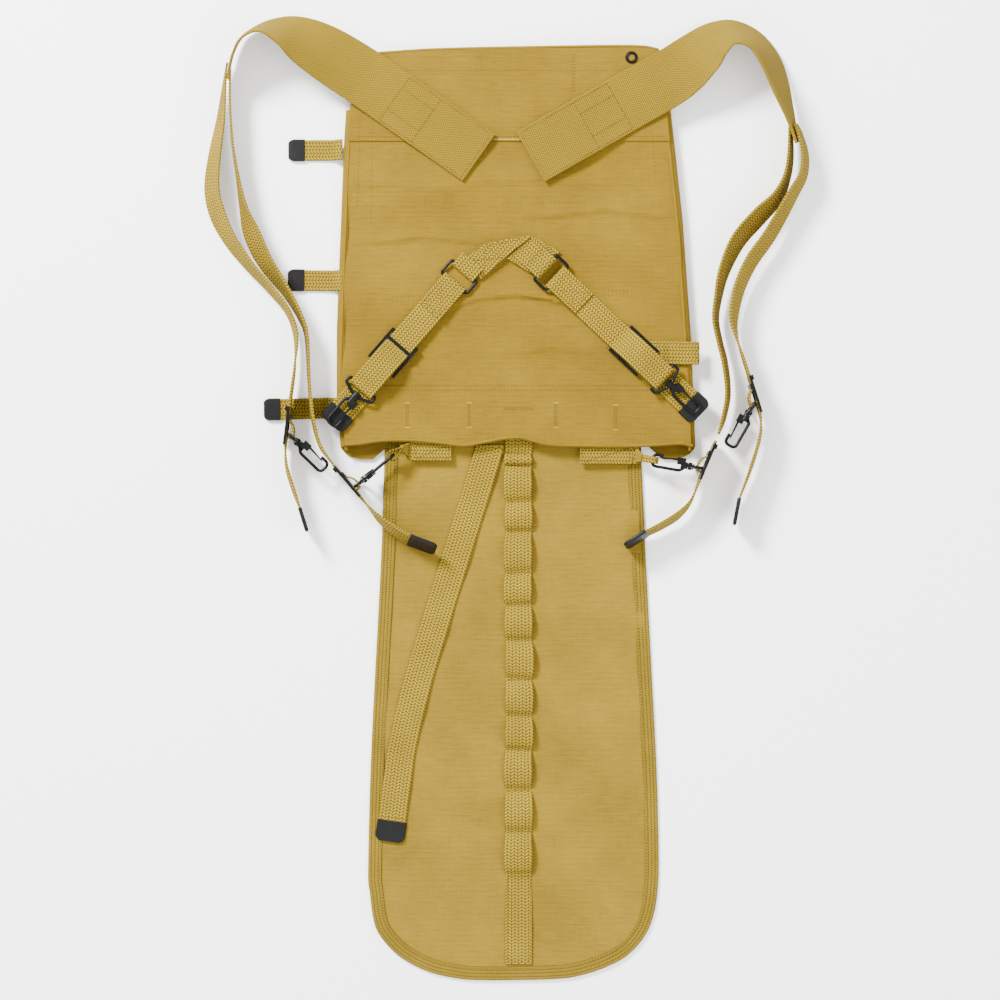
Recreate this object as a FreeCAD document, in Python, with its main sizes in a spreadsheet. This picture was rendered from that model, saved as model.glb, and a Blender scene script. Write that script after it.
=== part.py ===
"""Canvas haversack with a webbing harness, lying flat with the side worn against the back upwards.

Frame: millimetres, +Z up from the surface it lies on, +Y towards the shoulder end, +X to the right,
origin under the middle of the laid-out object.
"""
import FreeCAD, Part

import math
import os

Vector = FreeCAD.Vector

# Driving dimensions. Each one is a cell of the sheet "sizes" under the same alias.
SIZES = {
    "canvas": 1.6,                # doubled cotton canvas
    "panel_level": 11.0,          # underside of the back panel, over the folded wings
    "layer": 1.2,                 # one more ply sewn on the panel
    "layer_level": 12.6,
    "web_thick": 2.0,             # one-inch and three-quarter-inch webbing
    "wide_thick": 2.4,            # shoulder webbing
    "inch_web": 25.4,
    "wide_web": 54.0,
    "shoulder_level": 14.0,       # underside of the shoulder webbing on the panel
    "edge_level": 5.8,            # lowest edge of the narrow straps, which stand on edge
    "turned_level": 3.0,          # lowest edge of the shoulder webbing where it stands on edge
    "rear_level": 15.0,           # underside of the rear straps
    "yoke_level": 12.6,
    "yoke_top_level": 14.6,
    "binding_thick": 2.6,
    "binding_width": 13.8,
    "loop_width": 25.4,
    "coupling_level": 2.9,
    "strap_level": 0.3,           # underside of the three binding straps
    "eyelet_bore": 3.2,           # radius
    "eyelet_rim": 5.8,            # radius
    "wire": 1.5,                  # radius of hook and ring wire
    "ring_width": 31.0,
    "ring_depth": 10.0,
    "yoke_ring_length": 16.0,
    "hook_length": 37.0,
    "hook_width": 14.0,
    "post": 1.5,                  # radius of the hook's swivel post
    "post_clearance": 0.1,
    "gate_thick": 1.2,
    "gate_pin": 0.9,              # radius
    "adjuster_length": 36.0,
    "adjuster_width": 32.0,
    "adjuster_thick": 2.5,
    "rail": 2.6,
    "cross_bar": 4.5,
    "cross_thick": 1.6,
    "bar_rise": 3.3,              # ring bar's height over the middle of a suspender strap
    "rear_bar_rise": 5.0,
    "bar_loop": 3.3,              # radius of a strap's turn round its ring bar
    "tab_thick": 3.2,
    "tab_level": 5.4,
    "tab_width": 19.0,
    "loop_inside": 4.0,           # inner radius of a tab's loop round its hook
}

doc = FreeCAD.newDocument("haversack")
sheet = doc.addObject("Spreadsheet::Sheet", "sizes")
for row, (alias, value) in enumerate(SIZES.items(), start=1):
    sheet.set(f"A{row}", alias)
    sheet.set(f"B{row}", str(value))
    sheet.setAlias(f"B{row}", alias)
doc.recompute()


def size(alias):
    """The value of one driving dimension, read from the sheet."""
    return float(sheet.get(alias))


# ---------------------------------------------------------------- outlines

def spline(points):
    curve = Part.BSplineCurve()
    curve.interpolate([Vector(x, y, 0) for x, y in points])
    return curve


def offset_points(points, distance, per_span=3):
    """Points beside a smooth line through points, distance to its left."""
    curve = spline(points)
    count = per_span * (len(points) - 1)
    first, last = curve.FirstParameter, curve.LastParameter
    beside = []
    for step in range(count + 1):
        at = first + (last - first) * step / count
        place = curve.value(at)
        along = curve.tangent(at)[0]
        beside.append((place.x - along.y * distance, place.y + along.x * distance))
    return beside


def ribbon(points, width):
    """Outline of a band of one width along a smooth line."""
    left = offset_points(points, width / 2)
    right = offset_points(points, -width / 2)
    right.reverse()
    return [("curve", left), ("line", [left[-1], right[0]]),
            ("curve", right), ("line", [right[-1], left[0]])]


def sampled(points, per_span=4):
    """Points along the smooth line through points."""
    curve = spline(points)
    count = per_span * (len(points) - 1)
    first, last = curve.FirstParameter, curve.LastParameter
    return [curve.value(first + (last - first) * step / count)[:2] for step in range(count + 1)]


def mitred(points, distance):
    """A run of short straight lines moved to its left, with mitred corners."""
    ways = []
    for (x0, y0), (x1, y1) in zip(points, points[1:]):
        length = math.dist((x0, y0), (x1, y1))
        ways.append(((x1 - x0) / length, (y1 - y0) / length))
    moved = []
    for index, (x, y) in enumerate(points):
        before, after = ways[max(index - 1, 0)], ways[min(index, len(ways) - 1)]
        side_x, side_y = -(before[1] + after[1]), before[0] + after[0]
        scale = 2 * distance / (side_x ** 2 + side_y ** 2)
        moved.append((x + side_x * scale, y + side_y * scale))
    return moved


def facet_band(points, width):
    """Outline of a band of one width along a run of short straight lines."""
    return polygon(mitred(points, width / 2) + mitred(points, -width / 2)[::-1])


def polygon(points):
    return [("line", list(points) + [points[0]])]


def rectangle(x_low, y_low, x_high, y_high):
    return polygon([(x_low, y_low), (x_high, y_low), (x_high, y_high), (x_low, y_high)])


def band(start, end, width):
    """A straight band of one width."""
    length = math.dist(start, end)
    side_x = -(end[1] - start[1]) / length * width / 2
    side_y = (end[0] - start[0]) / length * width / 2
    return polygon([(start[0] + side_x, start[1] + side_y), (start[0] - side_x, start[1] - side_y),
                    (end[0] - side_x, end[1] - side_y), (end[0] + side_x, end[1] + side_y)])


def circle(x, y, radius):
    return [("circle", [(x, y), radius])]


# ---------------------------------------------------------------- building blocks

def add_sketch(body, name, plane, strokes):
    sketch = body.newObject("Sketcher::SketchObject", name)
    support = next(part for part in body.Origin.OriginFeatures if part.Role == plane)
    sketch.AttachmentSupport = [(support, "")]
    sketch.MapMode = "FlatFace"
    for kind, data in strokes:
        if kind == "curve":
            sketch.addGeometry(spline(data), False)
        elif kind == "circle":
            centre, radius = data
            sketch.addGeometry(Part.Circle(Vector(*centre, 0), Vector(0, 0, 1), radius), False)
        else:
            for start, end in zip(data, data[1:]):
                if math.dist(start, end) < 1e-6:
                    continue
                sketch.addGeometry(Part.LineSegment(Vector(*start, 0), Vector(*end, 0)), False)
    return sketch


def add_pad(body, name, strokes, thickness, plane="XY_Plane", base=None, both_ways=False):
    """Pads a closed outline. thickness and base are expressions on the sheet."""
    sketch = add_sketch(body, name + "_sketch", plane, strokes)
    if base is not None:
        sketch.setExpression("AttachmentOffset.Base.z", base)
    pad = body.newObject("PartDesign::Pad", name)
    pad.Profile = sketch
    pad.setExpression("Length", thickness)
    if both_ways:
        pad.SideType = "Symmetric"
    return pad


def new_body(label):
    body = doc.addObject("PartDesign::Body", label)
    body.Label = label
    body.AllowCompound = True
    return body


def flat_piece(label, outlines, thickness, level):
    """A flat or on-edge piece: outlines in plan, padded upwards from a level."""
    body = new_body(label)
    for number, strokes in enumerate(outlines):
        add_pad(body, f"{label}_pad{number}", strokes, thickness)
    body.setExpression("Placement.Base.z", level)
    return body


def placed(label, shape, placement=None):
    """A sub-part whose shape comes from Part's own functions."""
    feature = doc.addObject("Part::Feature", label)
    feature.Label = label
    feature.Shape = shape
    feature.Placement = placement or FreeCAD.Placement()
    return feature


def wire_form(points, bend, radius, closed=False):
    """Round wire along straight runs joined by tangent arcs of one bend radius."""
    corners = [Vector(*point) for point in points]
    edges = []
    count = len(corners)
    if closed:
        start = (corners[-1] + corners[0]) * 0.5
        turns = range(count)
    else:
        start = corners[0]
        turns = range(1, count - 1)
    here = start
    for index in turns:
        before, corner, after = corners[index - 1], corners[index], corners[(index + 1) % count]
        back = (before - corner).normalize()
        ahead = (after - corner).normalize()
        half = back.getAngle(ahead) / 2
        reach = bend / math.tan(half)
        enter = corner + back * reach
        leave = corner + ahead * reach
        middle_way = (back + ahead).normalize()
        middle = corner + middle_way * (bend / math.sin(half) - bend)
        if here.distanceToPoint(enter) > 1e-6:
            edges.append(Part.LineSegment(here, enter).toShape())
        edges.append(Part.Arc(enter, middle, leave).toShape())
        here = leave
    finish = start if closed else corners[-1]
    if here.distanceToPoint(finish) > 1e-6:
        edges.append(Part.LineSegment(here, finish).toShape())
    path = Part.Wire(edges)
    first = edges[0]
    along = first.tangentAt(first.FirstParameter)
    profile = Part.Wire(Part.Circle(start, along, radius).toShape())
    return path.makePipeShell([profile], True, True)


def local_frame(place, heading, normal):
    """A placement whose X is the heading and whose Z is the normal, made square to it."""
    along = Vector(*heading).normalize()
    out = Vector(*normal)
    out = (out - along * out.dot(along)).normalize()
    across = out.cross(along)
    matrix = FreeCAD.Matrix(along.x, across.x, out.x, place[0],
                            along.y, across.y, out.y, place[1],
                            along.z, across.z, out.z, place[2],
                            0, 0, 0, 1)
    return FreeCAD.Placement(matrix)


# ---------------------------------------------------------------- places and outlines of the soft parts

UP = (0, 0, 1)
PANEL_OUTLINE = [
    ("curve", [(-120, 417.5), (-63, 421), (31, 423), (118, 424)]),
    ("line", [(118, 424), (143, 421), (150, 362)]),
    ("curve", [(150, 362), (161, 262), (169, 149), (173, 50)]),
    ("line", [(173, 50), (163, 50), (40, 49), (25, 53), (-4, 55), (-40, 49), (-87, 53), (-118, 53),
              (-151, 49)]),
    ("curve", [(-151, 49), (-155, 93), (-155, 158), (-151, 262), (-146, 369)]),
    ("line", [(-146, 369), (-120, 417.5)]),
]
TOP_LAYER_OUTLINE = polygon([(-114, 414), (112, 420), (139, 417), (146, 360), (148, 334), (-142, 334),
                             (-142, 369)])
EYELET_PLACE = (117, 413)
HEM_OUTLINE = polygon([(-153, 104), (-149, 53), (-40, 50), (-4, 56), (40, 50), (171, 51), (168, 104)])
BUTTONHOLE = 22.0
BUTTONHOLE_SLOT = 1.6
BUTTONHOLES = [(-93, 78), (-35, 78), (46, 78), (102, 76)]
CENTRE_BUTTONHOLE = (11, 84)

# The line about which each suspender lifts: where its webbing leaves the panel, to its lower adjuster.
HINGE_TOP = {"left": (-150.0, 403.0), "right": (158.0, 398.0)}
HINGE_FOOT = {"left": (-161.0, 31.0), "right": (193.5, 54.0)}
SPLIT_GAP = 1.7


def on_hinge_line(side, y, shift):
    """A point on a suspender's lifting line at y, shifted along X."""
    top, foot = HINGE_TOP[side], HINGE_FOOT[side]
    return (foot[0] + (top[0] - foot[0]) * (y - foot[1]) / (top[1] - foot[1]) + shift, y)


ANCHORS = {
    "left": polygon([(-11, 342), (-119, 418), on_hinge_line("left", 435, SPLIT_GAP),
                     on_hinge_line("left", 372, SPLIT_GAP), (-146, 369), (-41, 296)]),
    "right": polygon([(7, 344), (148, 421), on_hinge_line("right", 426, -SPLIT_GAP),
                      on_hinge_line("right", 368, -SPLIT_GAP), (150, 362), (38, 295)]),
}
WEB_OUTER = {
    "left": [on_hinge_line("left", 436.5, -SPLIT_GAP), (-174, 448), (-195, 452.5), (-214, 449),
             (-235, 441)],
    "right": [on_hinge_line("right", 427.5, SPLIT_GAP), (179, 441), (196, 447.5), (216, 447), (240, 431)],
}
WEB_INNER = {
    "left": [(-235, 434), (-208, 421), (-182, 397), on_hinge_line("left", 374, -SPLIT_GAP)],
    "right": [(235, 425), (216, 423), (202, 421), (191, 411), (179, 395),
              on_hinge_line("right", 371, SPLIT_GAP)],
}
WEB_TURNED = {
    "left": [(-226, 439), (-240, 435), (-251, 425), (-257, 412), (-260.5, 402)],
    "right": [(232, 431), (246, 416), (256, 396), (264, 371), (270, 348)],
}
OUTER_STRAP = {
    "left": [(-264, 400), (-266, 385), (-270, 352), (-273, 325), (-279, 290), (-274, 258),
             (-261, 233), (-239, 209), (-211, 182), (-199, 156), (-197, 132)],
    "right": [(275, 346), (279, 325), (279, 305), (270, 286), (258, 263), (245, 243), (229, 221),
              (216, 196), (211.5, 170), (215, 151.5)],
}
INNER_STRAP = {
    "left": [(-257.5, 399), (-258, 370), (-257, 335), (-251, 305), (-241, 272), (-226, 237), (-203, 196),
             (-188, 171), (-183, 150), (-180, 109), (-177, 70), (-171, 50), (-164.5, 37)],
    "right": [(266, 344), (265, 322), (261, 298), (253, 280), (236, 266), (213, 238), (200, 207),
              (194, 180), (197, 155), (204, 126), (206, 98), (203, 76), (197.5, 61)],
}
# Middle of each suspender adjuster and the way its strap runs through it.
ADJUSTER_PLACE = {"left_outer": (-205, 68), "left_inner": (-148.5, 15.5),
                  "right_outer": (232, 97.5), "right_inner": (187.5, 34.5)}
ADJUSTER_WAY = {"left_outer": (-0.124, -0.992), "left_inner": (0.648, -0.761),
                "right_outer": (0.300, -0.954), "right_inner": (-0.387, -0.922)}
TAIL_ROUTE = {
    "left_outer": [(-205.5, 32), (-199, 9), (-193, -10)],
    "left_inner": [(-127, -11), (-117, -20.5), (-103, -32), (-90, -39)],
    "right_outer": [(237, 60), (228, 30), (217, -1)],
    "right_inner": [(172, -3), (160, -16), (145, -25.5), (130, -33)],
}
TIP_END = {"left_outer": (-186.5, -31), "left_inner": (-66, -47.5),
           "right_outer": (213, -24), "right_inner": (111, -44)}
RING_SIDE = {"left_outer": 1, "left_inner": 1, "right_outer": -1, "right_inner": -1}
# Way each suspender hook points in plan, and its roll.
HOOK_WAY = {"left_outer": (0.72, -0.69), "left_inner": (0.77, 0.64),
            "right_outer": (-0.50, -0.87), "right_inner": (-0.985, 0.17)}
HOOK_ROLL = {"left_outer": 90, "left_inner": 0, "right_outer": 90, "right_inner": 90}

# Rear straps: their yoke-ring bar, the way they run, distances along them.
REAR_START = {"left": (-49.6, 201.3), "right": (47.5, 205.8)}
REAR_WAY = {"left": (-0.656, -0.754), "right": (0.728, -0.686)}
REAR_ADJUSTER = {"left": 86.0, "right": 98.5}
REAR_BAR = {"left": 129.0, "right": 134.5}
REAR_END = {"left": 160.0, "right": 170.0}
REAR_TIP = 15.0
YOKE_APEX = (12.0, 236.0)

BINDING_ROOT = -168.0         # where their straight run starts, outside the left wing's swing
BINDING_STRAPS = {1: (-205.0, 327.0), 2: (-205.5, 204.5), 3: (-228.0, 85.0)}
BINDING_STRAP_WIDTH = 19.5
TIP_LENGTH = 14.0

FLAP_LEFT = [(-114.5, 44.5), (-118, -58), (-127, -235), (-130, -345), (-124, -400), (-105, -426),
             (-75, -444), (-29, -452.5)]
FLAP_RIGHT = [(11, -452), (50, -450), (92, -443), (122, -424), (138, -392), (143, -335), (141, -255),
              (131, -58), (126.5, 44.5)]
LOOP_CREASES = [42, 31, -3, -31, -70, -100, -133, -170, -204, -236, -274, -313, -355]
LOOP_END = -437.0
LOOP_MIDDLE = 11.5
LOOP_RISE = 3.8
LOOP_THICK = 1.8
LOOP_SEWN = 3.2               # length of strip sewn down at each crease
COUPLING_ROUTE = [(-18, 42), (-49, -60), (-67, -118), (-97, -230), (-107.5, -304)]
COUPLING_TIP = (-110.0, -321)


# ---------------------------------------------------------------- canvas body

def make_canvas():
    panel = flat_piece("back_panel", [PANEL_OUTLINE], "sizes.canvas", "sizes.panel_level")
    add_hole(panel, EYELET_PLACE, "sizes.canvas")
    top = flat_piece("top_layer", [TOP_LAYER_OUTLINE], "sizes.layer", "sizes.layer_level")
    add_hole(top, EYELET_PLACE, "sizes.layer")
    hem = flat_piece("hem_band", [HEM_OUTLINE], "sizes.layer", "sizes.layer_level")
    slots = []
    slot = BUTTONHOLE_SLOT
    for x, y in BUTTONHOLES:
        slots += rectangle(x - slot / 2, y - BUTTONHOLE / 2, x + slot / 2, y + BUTTONHOLE / 2)
    x, y = CENTRE_BUTTONHOLE
    slots += rectangle(x - BUTTONHOLE / 2, y - slot / 2, x + BUTTONHOLE / 2, y + slot / 2)
    cut_through(hem, "buttonholes", slots, "sizes.layer")


def cut_through(body, name, strokes, depth):
    doc.recompute()
    sketch = add_sketch(body, name + "_sketch", "XY_Plane", strokes)
    pocket = body.newObject("PartDesign::Pocket", body.Label + "_" + name)
    pocket.Profile = sketch
    pocket.setExpression("Length", depth)
    pocket.Reversed = True


def add_hole(body, place, depth):
    cut_through(body, "eyelet_hole", circle(*place, size("eyelet_rim") - 1.6), depth)


def make_eyelet():
    """A rolled eyelet: a barrel through the plies with a domed rim above and below."""
    body = new_body("eyelet")
    bore, rim = size("eyelet_bore"), size("eyelet_rim")
    barrel = rim - 1.7
    low = size("panel_level")
    high = size("layer_level") + size("layer")
    profile = [("line", [(bore, low - 1.0), (rim, low - 1.0), (rim, low), (barrel, low), (barrel, high),
                         (rim, high), (rim - 0.6, high + 0.9), (bore + 0.8, high + 1.2), (bore, high + 0.6),
                         (bore, low - 1.0)])]
    sketch = add_sketch(body, "eyelet_profile", "XZ_Plane", profile)
    turned = body.newObject("PartDesign::Revolution", "eyelet_turned")
    turned.Profile = sketch
    turned.ReferenceAxis = (sketch, ["V_Axis"])
    turned.Angle = 360
    body.Placement = FreeCAD.Placement(Vector(*EYELET_PLACE, 0), FreeCAD.Rotation())


WING_EDGE = {"left": [(-155.5, 56), (-157.5, 93), (-157.5, 158), (-153.5, 262), (-149.0, 366)],
             "right": [(176.0, 56), (171.5, 149), (163.5, 262), (153.0, 360)]}
WING_REACH = 118.0


def make_wings():
    """Side wings: a wall that drops from the panel's side and a leaf folded under the panel."""
    for side, inward in (("left", 1), ("right", -1)):
        edge = WING_EDGE[side]
        body = new_body(f"{side}_wing")
        wall = ribbon(edge, size("canvas"))
        add_pad(body, f"{side}_wing_wall", wall, "sizes.panel_level - 0.6")
        foot, head = (edge[0][0], edge[0][1] + 1), (edge[-1][0], edge[-1][1] - 1)
        leaf = polygon([foot] + edge[1:-1] + [head, (head[0] + inward * WING_REACH, head[1]),
                                              (foot[0] + inward * WING_REACH, foot[1])])
        add_pad(body, f"{side}_wing_leaf", leaf, "sizes.canvas")


# ---------------------------------------------------------------- flap

def make_flap():
    inset = size("binding_width")
    left_inner = offset_points(FLAP_LEFT, inset)
    right_inner = offset_points(FLAP_RIGHT, inset)
    panel = [("curve", left_inner), ("line", [left_inner[-1], right_inner[0]]), ("curve", right_inner),
             ("line", [right_inner[-1], left_inner[0]])]
    flat_piece("flap_panel", [panel], "sizes.canvas", "0")
    tape = [("curve", FLAP_LEFT), ("line", [FLAP_LEFT[-1], FLAP_RIGHT[0]]), ("curve", FLAP_RIGHT),
            ("line", [FLAP_RIGHT[-1], right_inner[-1]]), ("curve", right_inner[::-1]),
            ("line", [right_inner[0], left_inner[-1]]), ("curve", left_inner[::-1]),
            ("line", [left_inner[0], FLAP_LEFT[0]])]
    flat_piece("flap_binding", [tape], "sizes.binding_thick", "0")


def make_loop_webbing():
    """One strip sewn down at the creases and standing up in a low arch between them."""
    base = size("canvas")
    thick = LOOP_THICK
    foot = LOOP_SEWN / 2
    shoulder = base + LOOP_RISE * 0.8
    crown = base + LOOP_RISE
    top = []
    under = []
    for number, (high, low) in enumerate(zip(LOOP_CREASES, LOOP_CREASES[1:])):
        quarter = (high - low) / 4
        middle = (high + low) / 2
        arch_top = [(high, base + thick), (high - quarter, shoulder + thick), (middle, crown + thick),
                    (low + quarter, shoulder + thick), (low, base + thick)]
        arch_under = [(high - foot, base), (high - quarter, shoulder), (middle, crown),
                      (low + quarter, shoulder), (low + foot, base)]
        top.append(("curve", arch_top))
        under.append(("curve", arch_under))
        if number:
            under.append(("line", [(high + foot, base), (high - foot, base)]))
    start, end = LOOP_CREASES[0], LOOP_CREASES[-1]
    closing = [("line", [(start, base + thick), (start, base), (start - foot, base)]),
               ("line", [(end, base + thick), (LOOP_END, base + thick), (LOOP_END, base),
                         (end + foot, base)])]
    body = new_body("loop_webbing")
    add_pad(body, "loop_webbing_pad", top + under + closing, "sizes.loop_width", "YZ_Plane", both_ways=True)
    body.Placement = FreeCAD.Placement(Vector(LOOP_MIDDLE, 0, 0), FreeCAD.Rotation())


def make_coupling_strap():
    flat_piece("coupling_strap", [ribbon(COUPLING_ROUTE, size("inch_web"))], "sizes.web_thick",
               "sizes.coupling_level")
    wrap_start = (COUPLING_ROUTE[-1][0], COUPLING_ROUTE[-1][1] - 1.6)
    wrap = [band(wrap_start, COUPLING_TIP, size("inch_web") + 1.0)]
    flat_piece("coupling_strap_tip", wrap, "sizes.web_thick", "sizes.coupling_level")


# ---------------------------------------------------------------- binding straps

def make_binding_straps():
    half = BINDING_STRAP_WIDTH / 2
    for number, (tip_x, y) in BINDING_STRAPS.items():
        strap = rectangle(tip_x + TIP_LENGTH, y - half, BINDING_ROOT, y + half)
        flat_piece(f"binding_strap_{number}", [strap], "sizes.web_thick", "sizes.strap_level")
        tip = rectangle(tip_x, y - half - 0.4, tip_x + TIP_LENGTH, y + half + 0.4)
        flat_piece(f"binding_strap_tip_{number}", [tip], "sizes.web_thick", "sizes.strap_level")


# ---------------------------------------------------------------- suspenders

def make_shoulder_webbing():
    flat_piece("shoulder_anchors", [ANCHORS["left"], ANCHORS["right"]], "sizes.wide_thick",
               "sizes.shoulder_level")
    for side in ("left", "right"):
        outer, inner = WEB_OUTER[side], WEB_INNER[side]
        flat = [("curve", outer), ("line", [outer[-1], inner[0]]), ("curve", inner),
                ("line", [inner[-1], outer[0]])]
        body = new_body(f"{side}_shoulder_web")
        add_pad(body, f"{side}_web_flat", flat, "sizes.wide_thick", base="sizes.shoulder_level")
        turned = ribbon(WEB_TURNED[side], size("wide_thick"))
        add_pad(body, f"{side}_web_turned", turned, "sizes.wide_web", base="sizes.turned_level")


def edge_middle():
    return size("edge_level") + size("inch_web") / 2


def adjuster_frame(name):
    """Frame of a suspender adjuster: X along the strap, Z towards its ring, Y straight up or down."""
    x, y = ADJUSTER_PLACE[name]
    way = ADJUSTER_WAY[name]
    side = RING_SIDE[name]
    normal = (-way[1] * side, way[0] * side, 0)
    return local_frame((x, y, edge_middle()), (*way, 0), normal)


def along_strap(name, distance):
    x, y = ADJUSTER_PLACE[name]
    way = ADJUSTER_WAY[name]
    return (x + way[0] * distance, y + way[1] * distance)


STRAIGHT_BEFORE = 46.0
STRAIGHT_AFTER = 21.0
BAR_PLACE = 8.0               # a suspender ring's bar, along its strap from the adjuster's middle


def turn_round(along, rise):
    """Webbing's turn over a ring bar, down its far side and back underneath."""
    radius = size("bar_loop")
    turn = []
    for degrees in range(90, -61, -30):
        angle = math.radians(degrees)
        turn.append((along + radius * math.cos(angle), rise + radius * math.sin(angle)))
    return turn


def bar_loop(name):
    """The strap's loop round its ring bar, in plan: a band that leaves the strap and comes back to it."""
    frame = adjuster_frame(name)
    rise = size("bar_rise")
    lead = [(BAR_PLACE - 12, rise + 1.6), (BAR_PLACE - 5, rise + size("bar_loop"))]
    points = []
    for along, out in lead + turn_round(BAR_PLACE, rise):
        place = frame.multVec(Vector(along, 0, out))
        points.append((place.x, place.y))
    return facet_band(sampled(points), size("web_thick"))


def tip_start(name):
    """Start of a strap's crimped tip, just clear of the webbing's cut end."""
    (x0, y0), (x1, y1) = TAIL_ROUTE[name][-1], TIP_END[name]
    part = 0.5 / math.dist((x0, y0), (x1, y1))
    return (x0 + (x1 - x0) * part, y0 + (y1 - y0) * part)


def make_suspender_straps():
    thick = size("web_thick")
    for side in ("left", "right"):
        name = f"{side}_outer"
        head = sampled(OUTER_STRAP[side] + [along_strap(name, -STRAIGHT_BEFORE)])
        tail = sampled([along_strap(name, STRAIGHT_AFTER)] + TAIL_ROUTE[name])
        outlines = [facet_band(head + tail, thick), bar_loop(name)]
        flat_piece(f"{name}_strap", outlines, "sizes.inch_web", "sizes.edge_level")
        flat_piece(f"{side}_inner_strap", [ribbon(INNER_STRAP[side], thick)], "sizes.inch_web",
                   "sizes.edge_level")
    tails = []
    tips = []
    for name in ("left_inner", "right_inner"):
        tail = sampled([along_strap(name, STRAIGHT_AFTER)] + TAIL_ROUTE[name])
        tails.append(facet_band([along_strap(name, -STRAIGHT_AFTER)] + tail, thick))
        tails.append(bar_loop(name))
        tips.append(band(tip_start(name), TIP_END[name], thick + 1))
    flat_piece("inner_strap_ends", tails, "sizes.inch_web", "sizes.edge_level")
    flat_piece("inner_strap_tips", tips, "sizes.inch_web", "sizes.edge_level")
    for name in ("left_outer", "right_outer"):
        tip = band(tip_start(name), TIP_END[name], thick + 1)
        flat_piece(f"{name}_strap_tip", [tip], "sizes.inch_web", "sizes.edge_level")


# ---------------------------------------------------------------- rear yoke

def rear_point(side, distance):
    x, y = REAR_START[side]
    way = REAR_WAY[side]
    return (x + way[0] * distance, y + way[1] * distance)


def make_yoke():
    half = size("inch_web") / 2
    gap = 2.6
    body = new_body("yoke_webs")
    for side, level in (("left", "sizes.yoke_top_level"), ("right", "sizes.yoke_level")):
        x, y = rear_point(side, -size("yoke_ring_length") - gap)
        way_x, way_y = REAR_WAY[side]
        foot = [(x - way_y * half, y + way_x * half), (x + way_y * half, y - way_x * half)]
        length = math.dist((x, y), YOKE_APEX)
        side_x, side_y = (YOKE_APEX[1] - y) / length * half, (x - YOKE_APEX[0]) / length * half
        head = [(YOKE_APEX[0] - side_x, YOKE_APEX[1] - side_y),
                (YOKE_APEX[0] + side_x, YOKE_APEX[1] + side_y)]
        if math.dist(foot[1], head[0]) > math.dist(foot[1], head[1]):
            head.reverse()
        add_pad(body, f"{side}_yoke_web", polygon(foot + head), "sizes.web_thick", base=level)


def make_yoke_ring(side):
    """A rectangle of wire between a yoke web and a rear strap."""
    long = size("yoke_ring_length")
    half = size("ring_width") / 2
    corners = [(0, -half, 0), (0, half, 0), (-long, half, 0), (-long, -half, 0)]
    shape = wire_form(corners, 3.0, size("wire"), True)
    z = size("rear_level") + size("web_thick") / 2 + 0.6
    placed(f"{side}_yoke_ring", shape, local_frame((*REAR_START[side], z), (*REAR_WAY[side], 0), UP))


def rear_frame(side, distance, lift=0.0):
    z = size("rear_level") + size("web_thick") / 2 + lift
    return local_frame((*rear_point(side, distance), z), (*REAR_WAY[side], 0), UP)


def make_rear_strap(side):
    """The long strap on its way through the adjuster, with the arch that holds the hook's ring."""
    body = new_body(f"{side}_rear_strap")
    half = size("web_thick") / 2
    start = 2.4
    flat = rectangle(start, -half, REAR_END[side], half)
    add_pad(body, f"{side}_rear_flat", flat, "sizes.inch_web", "XZ_Plane", both_ways=True)
    rise = size("rear_bar_rise")
    bar = REAR_BAR[side]
    lift_off = REAR_ADJUSTER[side] - 2.0
    arch = [(lift_off, 3.4), ((lift_off + bar) / 2, 9.6), (bar - 4, rise + size("bar_loop") + 0.4)]
    arch += turn_round(bar, rise) + [(bar - 1.4, 0.4)]
    add_pad(body, f"{side}_rear_arch", ribbon(arch, size("web_thick")), "sizes.inch_web", "XZ_Plane",
            both_ways=True)
    body.Placement = rear_frame(side, 0)
    tip = new_body(f"{side}_rear_strap_tip")
    wrap = rectangle(REAR_END[side], -half - 0.5, REAR_END[side] + REAR_TIP, half + 0.5)
    add_pad(tip, f"{side}_rear_tip_pad", wrap, "sizes.inch_web", "XZ_Plane", both_ways=True)
    tip.Placement = rear_frame(side, 0)


# ---------------------------------------------------------------- hardware

def make_adjuster(label, frame):
    """Sliding adjuster: two rails, a bar over the strap and a bar under it."""
    body = new_body(label)
    half_length, half_width = size("adjuster_length") / 2, size("adjuster_width") / 2
    rail = size("rail")
    rails = []
    for low in (-half_width, half_width - rail):
        rails += rectangle(-half_length, low, half_length, low + rail)
    add_pad(body, label + "_rails", rails, "sizes.adjuster_thick", base="-sizes.adjuster_thick / 2")
    width = size("cross_bar")
    upper = rectangle(-10, -half_width, -10 + width, half_width)
    add_pad(body, label + "_upper_bar", upper, "sizes.cross_thick", base="sizes.adjuster_thick / 2")
    lower = rectangle(-half_length, -half_width, -half_length + width, half_width)
    add_pad(body, label + "_lower_bar", lower, "sizes.cross_thick",
            base="-sizes.adjuster_thick / 2 - sizes.cross_thick")
    body.Placement = frame


def make_ring(label, frame):
    """Wire ring: a straight bar for the webbing and an apex with the swivel's collar."""
    half, depth = size("ring_width") / 2, size("ring_depth")
    wire = size("wire")
    shoulder = depth * 0.58
    loop = wire_form([(0, -half, 0), (0, half, 0), (shoulder, half, 0), (depth, 5.0, 0),
                      (depth, -5.0, 0), (shoulder, -half, 0)], 1.6, wire, True)
    collar = Part.makeCylinder(3.6, 3.6, Vector(depth - 1.8, 0, 0), Vector(1, 0, 0))
    bore_radius = size("post") + size("post_clearance")
    bore = Part.makeCylinder(bore_radius, 8, Vector(depth - 4, 0, 0), Vector(1, 0, 0))
    placed(label, loop.fuse(collar).cut(bore).removeSplitter(), frame)


GATE_PIVOT = 10.0             # the gate's pin, along the hook and beside its middle
GATE_OFFSET = 4.4


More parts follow.
